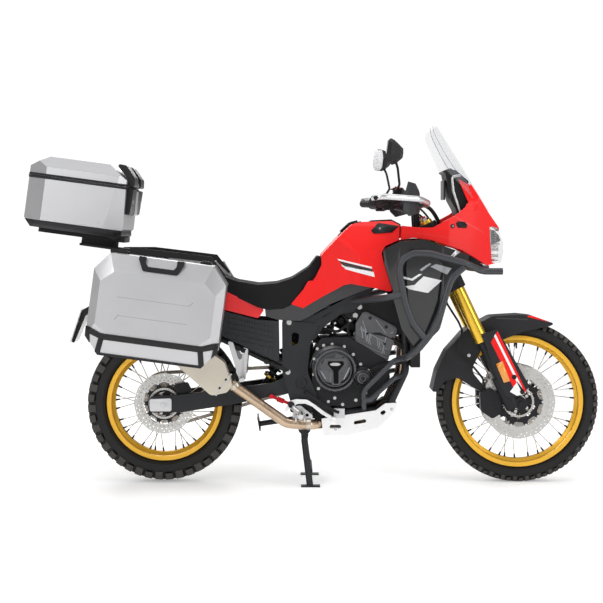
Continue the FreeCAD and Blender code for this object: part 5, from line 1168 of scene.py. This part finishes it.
casting = {
    "clutch": (83, 490), "pump": (200, 455), "generator": (90, 490),
    "ears": [(38, 540, 8), (30, 512, 6), (66, 480, 6), (68, 428, 6), (106, 428, 6), (108, 480, 6),
             (140, 512, 6), (132, 540, 8)],
    "recess": [(53, 528, 4), (52, 514, 5), (75, 486, 5), (77, 434, 3), (97, 434, 3), (97, 486, 5),
               (120, 514, 5), (118, 528, 4)],
    "badge": [(x, 515 + z * 6.5 / 22) for x, z in circle(83, 0, 22, 32)],
    "pumpRings": [(38, 43, 3), (27, 30, 2.4), (14, 17, 3), (0.5, 9, 2)],
    "bolts": [(9, 576), (72, 595), (123, 585), (161, 552), (192, 511), (56, 353), (116, 341), (172, 359),
              (14, 408), (-6, 468), (-4, 535), (83, 368), (36, 590), (222, 488), (236, 440), (214, 388)],
    "headLines": [
        ((213, 727), (312, 692)), ((268, 708), (228, 652)), ((201, 694), (217, 648)),
        ((294, 716), (286, 630)), ((328, 646), (300, 630)), ((190, 660), (292, 606)),
        ((236, 600), (310, 572)), ((256, 700), (300, 640)), ((206, 622), (222, 560)),
        ((300, 624), (282, 556))],
    "coverEdges": [((41, 529), (67, 478)), ((67, 478), (65, 442)), ((119, 529), (95, 478)),
                   ((95, 478), (96, 442)), ((14, 500), (44, 452)), ((144, 500), (120, 452))],
    "headBolts": [(232, 706), (300, 668), (222, 640), (292, 596)],
    "intake": [
        (addRod, (84, 0, 706), (176, 0, 652), 38, 40, 34), (addRod, (112, -52, 690), (112, 52, 690), 15, 24),
        (addRod, (150, -46, 668), (150, -20, 668), 20, 24), (addBlock, (-86, -48, 632), (74, 48, 664)),
        (addBlock, (-50, -66, 664), (36, 66, 700)), (addBlock, (-44, -62, 430), (-6, 62, 590)),
        (addRod, (60, -40, 612), (142, -40, 602), 24, 32)],
    "hoses": [
        ([(6, -82, 636), (44, -86, 668), (90, -88, 640), (130, -88, 668), (172, -86, 706)], 6.5),
        ([(-10, -78, 606), (50, -84, 606), (100, -86, 622), (164, -88, 600)], 8.5),
        ([(112, -86, 722), (148, -88, 694), (134, -88, 646), (160, -86, 596)], 5.5),
        ([(58, -84, 716), (84, -88, 684), (70, -88, 650), (104, -88, 622), (150, -86, 640)], 5.0),
        ([(-20, -80, 584), (-26, -84, 540), (-16, -86, 500), (-24, -84, 452)], 6.0),
        ([(40, 82, 650), (90, 86, 672), (140, 84, 640), (176, 82, 690)], 6.5),
        ([(-10, 80, 606), (60, 84, 620), (120, 84, 600), (170, 82, 620)], 7.5)],
    "clips": [(44, -86, 668), (148, -88, 694), (50, -84, 606), (84, -88, 684), (164, -88, 600),
              (6, -82, 636)],
    "coolant": [
        ([(236, -100, 640), (300, -104, 640), (352, -100, 600), (398, -96, 560)], 12.0),
        ([(206, -128, 462), (250, -124, 500), (330, -112, 520), (404, -98, 522)], 11.0)],
}


def buildCovers():
    x, z = casting["clutch"]
    face = surfaceY("engine_covers", x, z, -1, -166)
    makePiece("clutch_cover", "coverGrey", "engine_covers", [
        (addSpin, [(77, 3), (80, -4), (87, -4), (92, 10), (92, 16), (77, 16)], (x, face, z)),
        (addSpin, [(64, 1), (65.5, -1.6), (69, -1.6), (70.5, 1)], (x, face, z)),
        (addPlate, rounded(casting["ears"], 4), face + 2, face - 4)], 1.0, sharp=25)
    # a near-black plate on the cover: painted shade standing for its recess
    makePiece("clutch_recess_painted_shade", "recessPaintedShade", "engine_covers", [
        (addPlate, rounded(casting["recess"], 4), face - 4.2, face - 5.2)])
    makePiece("cover_badge", "bareSteel", "engine_covers", [
        (addPlate, casting["badge"], face - 5.2, face - 6.4)], 0.5)
    arcs = []
    for radius in (96, 104):
        points = [around(x, z, radius, math.radians(128 + 6 * step)) for step in range(9)]
        route = [(u, surfaceY("engine_covers", u, v, -1) or surfaceY("engine", u, v, -1, -118), v)
                 for u, v in points]
        arcs += [(addRod, *ends, 2.6, 8) for ends in zip(route, route[1:])]
    makePiece("cover_arcs", "coverGrey", "engine_covers", arcs, sharp=60)
    x, z = casting["pump"]
    lid = surfaceY("engine_covers", x, z, -1, -140)
    makePiece("pump_rings", "castBlack", "engine_covers", [
        (addSpin, [(inner, 4), (inner, -rise * 0.6), (inner + 0.8, -rise), (outer - 0.8, -rise),
                   (outer, -rise * 0.6), (outer, 8)], (x, lid, z), 64)
        for inner, outer, rise in casting["pumpRings"]], sharp=25)
    boltsOn("engine_bolts", "engine", casting["bolts"], 4.6, 5.0, "bareSteel",
            under=("engine_covers", "engine"))


def buildGenerator():
    # the left cover's round lid, with its ribs
    x, z = casting["generator"]
    face = surfaceY("engine_covers", x, z, 1, 150)
    parts = [(addSpin, [(58, -6), (58, 2), (62, 4), (68, 2), (70, -6)], (x, face, z), 72),
             (addSpin, [(0.5, -4), (0.5, 3), (22, 3), (25, -4)], (x, face, z), 48)]
    for turn in range(6):
        (u, v), (farU, farV) = [around(x, z, reach, math.radians(60 * turn + 15)) for reach in (28, 55)]
        parts.append((addRod, (u, face, v), (farU, face, farV), 2.6, 8))
    makePiece("generator_lid", "coverGrey", "engine_covers", parts, sharp=25)


def buildHead():
    # the raised lines, cover edges and fins are drawn in pale grey, a painted highlight along the edges of
    # the castings
    ribsOn("head_lines", "cylinder_head", casting["headLines"], 1.7, "ribPaintedHighlight")
    ribsOn("cover_edges", "engine_covers", casting["coverEdges"], 2.2, "ribPaintedHighlight", sides=(-1,))
    fins = []
    for index in range(6):
        right, down = 8 * index, 7 * index
        fins.append(((194 + right, 672 - down), (202 + right, 620 - down)))
        if index < 4:
            fins.append(((262 + right, 622 - down), (268 + right, 577 - down)))
    ribsOn("head_fins", "cylinder_head", fins, 1.9, "ribPaintedHighlight")
    boltsOn("head_bolts", "cylinder_head", casting["headBolts"], 5.0, 4.0, "castBlack")
    makePiece("intake", "castBlack", "engine", casting["intake"], 3.0)
    for index, (points, radius) in enumerate(casting["hoses"]):
        hosePiece("engine_hose_%d" % index, points, radius, "rubber", "engine")
    makePiece("hose_clips", "bareSteel", "engine", [
        (addRod, (x - 4, y, z - 2), (x + 4, y, z + 2), 8.8, 16) for x, y, z in casting["clips"]])
    for index, (points, radius) in enumerate(casting["coolant"]):
        hosePiece("coolant_hose_%d" % index, points, radius, "rubber", "radiator")


buildCovers()
buildGenerator()
buildHead()


# frame fixings, pedal and pegs

controls = {
    "frameBolts": [(-101, 743), (-110, 688), (184, 753), (169, 719), (-115, 479), (337, 536), (307, 524)],
    "pivot": [(0.5, 2), (0.5, -2), (6, -2), (7, -4), (20, -4.5), (24, -2), (25, 2)],
    "pedal": [(-131, 326, 5), (-103, 362, 16), (-79, 368, 12), (-35, 366, 16), (-3, 346, 12), (41, 314, 8),
              (80, 290, 4), (72, 279, 4), (25, 306, 10), (-15, 338, 12), (-43, 349, 10), (-75, 348, 10),
              (-91, 338, 8), (-122, 316, 4)],
    "tip": [(66, 296, 4), (86, 296, 4), (90, 282, 4), (70, 278, 4)],
    "bracket": [(-93, 337, 8), (-62, 340, 8), (-11, 299, 10), (-12, 284, 8), (-51, 272, 10), (-84, 264, 8),
                (-97, 298, 10)],
    "bracketHoles": [circle(-34, 300, 7, 16), circle(-78, 320, 5, 12)],
    "boss": [(10, 2), (10, -6), (19, -8), (22, -4), (22, 2)],
    "link": [
        (addRod, (-184, -128, 376), (-107, -128, 345), 6.5),
        (addRod, (-160, -128, 366), (-132, -128, 355), 11),
        (addRod, (-184, -136, 376), (-184, -120, 376), 10, 24),
        (addRod, (-107, -136, 345), (-107, -120, 345), 10, 24)],
    "skidBolts": [(98, 294), (240, 316), (322, 322), (86, 238)],
}


def buildControls():
    boltsOn("frame_bolts", "frame", controls["frameBolts"], 7.5, 4.5, "bareSteel")
    pivot = surfaceY("frame", -58, 433, -1, -110)
    makePiece("pivot_cap", "softBlack", "frame", [
        (addSpin, controls["pivot"], (-58, pivot, 433), 56)], sharp=30)
    makePiece("brake_pedal", "plateAlloy", "footrests", [
        (addPlate, rounded(controls["pedal"], 4), -160, -151)], 1.5)
    makePiece("pedal_tip", "plateAlloy", "footrests", [
        (addPlate, rounded(controls["tip"], 3), -190, -152)], 1.5)
    makePiece("peg_bracket", "bareAlloy", "footrests", [
        (addPlate, rounded(controls["bracket"], 4), -149, -139, controls["bracketHoles"]),
        (addSpin, controls["boss"], (-62, -149, 292), 40)], 1.0, sharp=30)
    makePiece("pedal_pivot", "castBlack", "footrests", [
        (addRod, (-101, -150, 345), (-101, -166, 345), 14, 32),
        (addRod, (-97, -150, 322), (-97, -163, 322), 9, 24)], 2.0)
    teeth = []
    rows = (-82, -46)
    for side in (1, -1):
        for step in range(6):
            y = side * (186 + 13 * step)
            teeth += [(addBlock, (x - 3, y, 296), (x + 3, y + side * 6, 304)) for x in rows]
        teeth += [(addBlock, (x - 4, side * 172, 286), (x + 4, side * 262, 298)) for x in rows]
    makePiece("peg_teeth", "bareAlloy", "footrests", teeth, 0.8, 1)
    makePiece("brake_link", "redAnodised", "frame", controls["link"], 1.0)
    makePiece("skid_clamp", "bareAlloy", "skid_plate", [
        (addBlock, (78, -137, 286), (124, -129, 322)),
        (addRod, (78, -133, 322), (124, -133, 322), 6.0, 16)], 1.2)
    boltsOn("skid_bolts", "skid_plate", controls["skidBolts"], 4.5, 2.5, "bareSteel")


buildControls()


# rack side rails and struts, panels over the head, shock, silencer trim and pipe clamps

rear = {
    "rails": [(-850, 1001, 4), (-708, 1001, 30), (-559, 983, 30), (-431, 967, 10), (-371, 888, 6),
              (-381, 884, 4), (-441, 944, 10), (-560, 958, 30), (-708, 973, 30), (-850, 984, 4)],
    "panels": [(106, 731), (200, 783), (330, 790), (374, 640), (338, 628), (318, 670), (200, 723),
               (158, 692)],
    "tankTail": [(-103, 765, 4), (-51, 748, 4), (80, 826, 8), (60, 872, 6), (-30, 862, 6), (-50, 828, 8)],
    "nose": [(654, 970, 3), (716, 926, 3), (704, 913, 4), (658, 926, 4)],
    "strut": ((-112, 481), (-397, 616)), "clampShares": (0.22, 0.30, 0.64, 0.72),
    "panelBolts": [(189, 751), (171, 715)],
    "shock": ((-206, 0, 424), (-66, 0, 640)), "collarShares": (0.10, 0.78),
    "coil": {"turns": 7, "steps": 12, "from": 0.13, "span": 0.62, "radius": 26, "wire": 4.5},
    "seam": [(-417, 391), (-413, 387), (-347, 478), (-351, 482)],
    "pipeClamps": [((-338, 424), (0.55, 0, -0.83)), ((-28, 262), (1, 0, 0))],
}


def buildRack():
    makePiece("rack_rails", "mattBlack", "luggage_rack", [
        (addPair, rounded(rear["rails"], 4), 228, 236)], 1.5)
    makePiece("inner_panels", "mattBlack", "shrouds", [(addPair, rear["panels"], 84, 90)], 1.5)
    makePiece("tank_tail", "redPaint", "tank", [(addPair, rounded(rear["tankTail"], 4), 112, 141)], 3.0)
    makePiece("nose_liner", "mattBlack", "fairing", [(addPlate, rounded(rear["nose"], 4), -104, 104)], 2.0)
    (lowX, lowZ), (highX, highZ) = rear["strut"]
    run = Vector((highX - lowX, 0, highZ - lowZ))
    feet = [Vector((lowX, side * 128, lowZ)) for side in (1, -1)]
    makePiece("rack_struts", "mattBlack", "luggage_rack", [
        (addRod, foot + run, foot, 9, 24) for foot in feet], 0.6)
    spots = [foot + run * share for foot in feet for share in rear["clampShares"]]
    makePiece("strut_clamps", "rubber", "luggage_rack", [
        (addRod, spot, spot + run * 0.05, 13, 24) for spot in spots], 1.0)
    makePiece("panel_bolts", "bareSteel", "shrouds", [
        (addBolt, (x, side * 90, z), (0, side, 0), 7.5, 4.5)
        for side in (1, -1) for x, z in rear["panelBolts"]], sharp=30)


def buildShock():
    low, high = [Vector(place) for place in rear["shock"]]
    length = (high - low).length
    run = (high - low).normalized()
    across = Vector((0, 1, 0))
    eyes = ((low - run * 6, 17), (high + run * 6, 16))
    body = [(addRod, low, high, 15, 32), (addRod, low + run * 150, high, 24, 32)]
    body += [(addRod, eye - across * 14, eye + across * 14, radius, 24) for eye, radius in eyes]
    makePiece("damper", "castBlack", "shock", body, 1.0)
    collars = [low + (high - low) * share for share in rear["collarShares"]]
    makePiece("shock_collars", "goldTube", "shock", [
        (addRod, spot - run * 5, spot + run * 5, 29, 40) for spot in collars], 1.0)
    coil = rear["coil"]
    side = run.cross(across).normalized()
    steps = coil["turns"] * coil["steps"]
    points = []
    for step in range(steps + 1):
        turn = 2 * math.pi * step / coil["steps"]
        spot = low + run * length * (coil["from"] + coil["span"] * step / steps)
        points.append(tuple(spot + (side * math.cos(turn) + across * math.sin(turn)) * coil["radius"]))
    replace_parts(hosePiece("shock_spring", points, coil["wire"], "satinTube", "shock", 3), "shock")


def buildExhaust():
    makePiece("silencer_seam", "bareSteel", "silencer", [(addPlate, rear["seam"], -213.4, -211)])
    boltsOn("silencer_bolts", "silencer", [(-372, 455), (-398, 420)], 4.0, 3.0, "castBlack", sides=(-1,))
    clamps = []
    for (x, z), lean in rear["pipeClamps"]:
        y = surfaceY("exhaust_pipes", x, z, -1)
        if y is not None:
            centre = Vector((x, y + 21, z))
            half = Vector(lean) * 9
            clamps.append((addRod, centre - half, centre + half, 24.5, 40))
    makePiece("pipe_clamps", "champagne", "exhaust_pipes", clamps, 1.2)


buildRack()
buildShock()
buildExhaust()
dressNode("chain", "chainSteel", 0.4)
paint("footrests", "castBlack", lambda spot, normal: spot.x > -60 and spot.z > 300)
dressNode("seat", "seatVinyl", 16.0)
print("engine, controls and rear done")
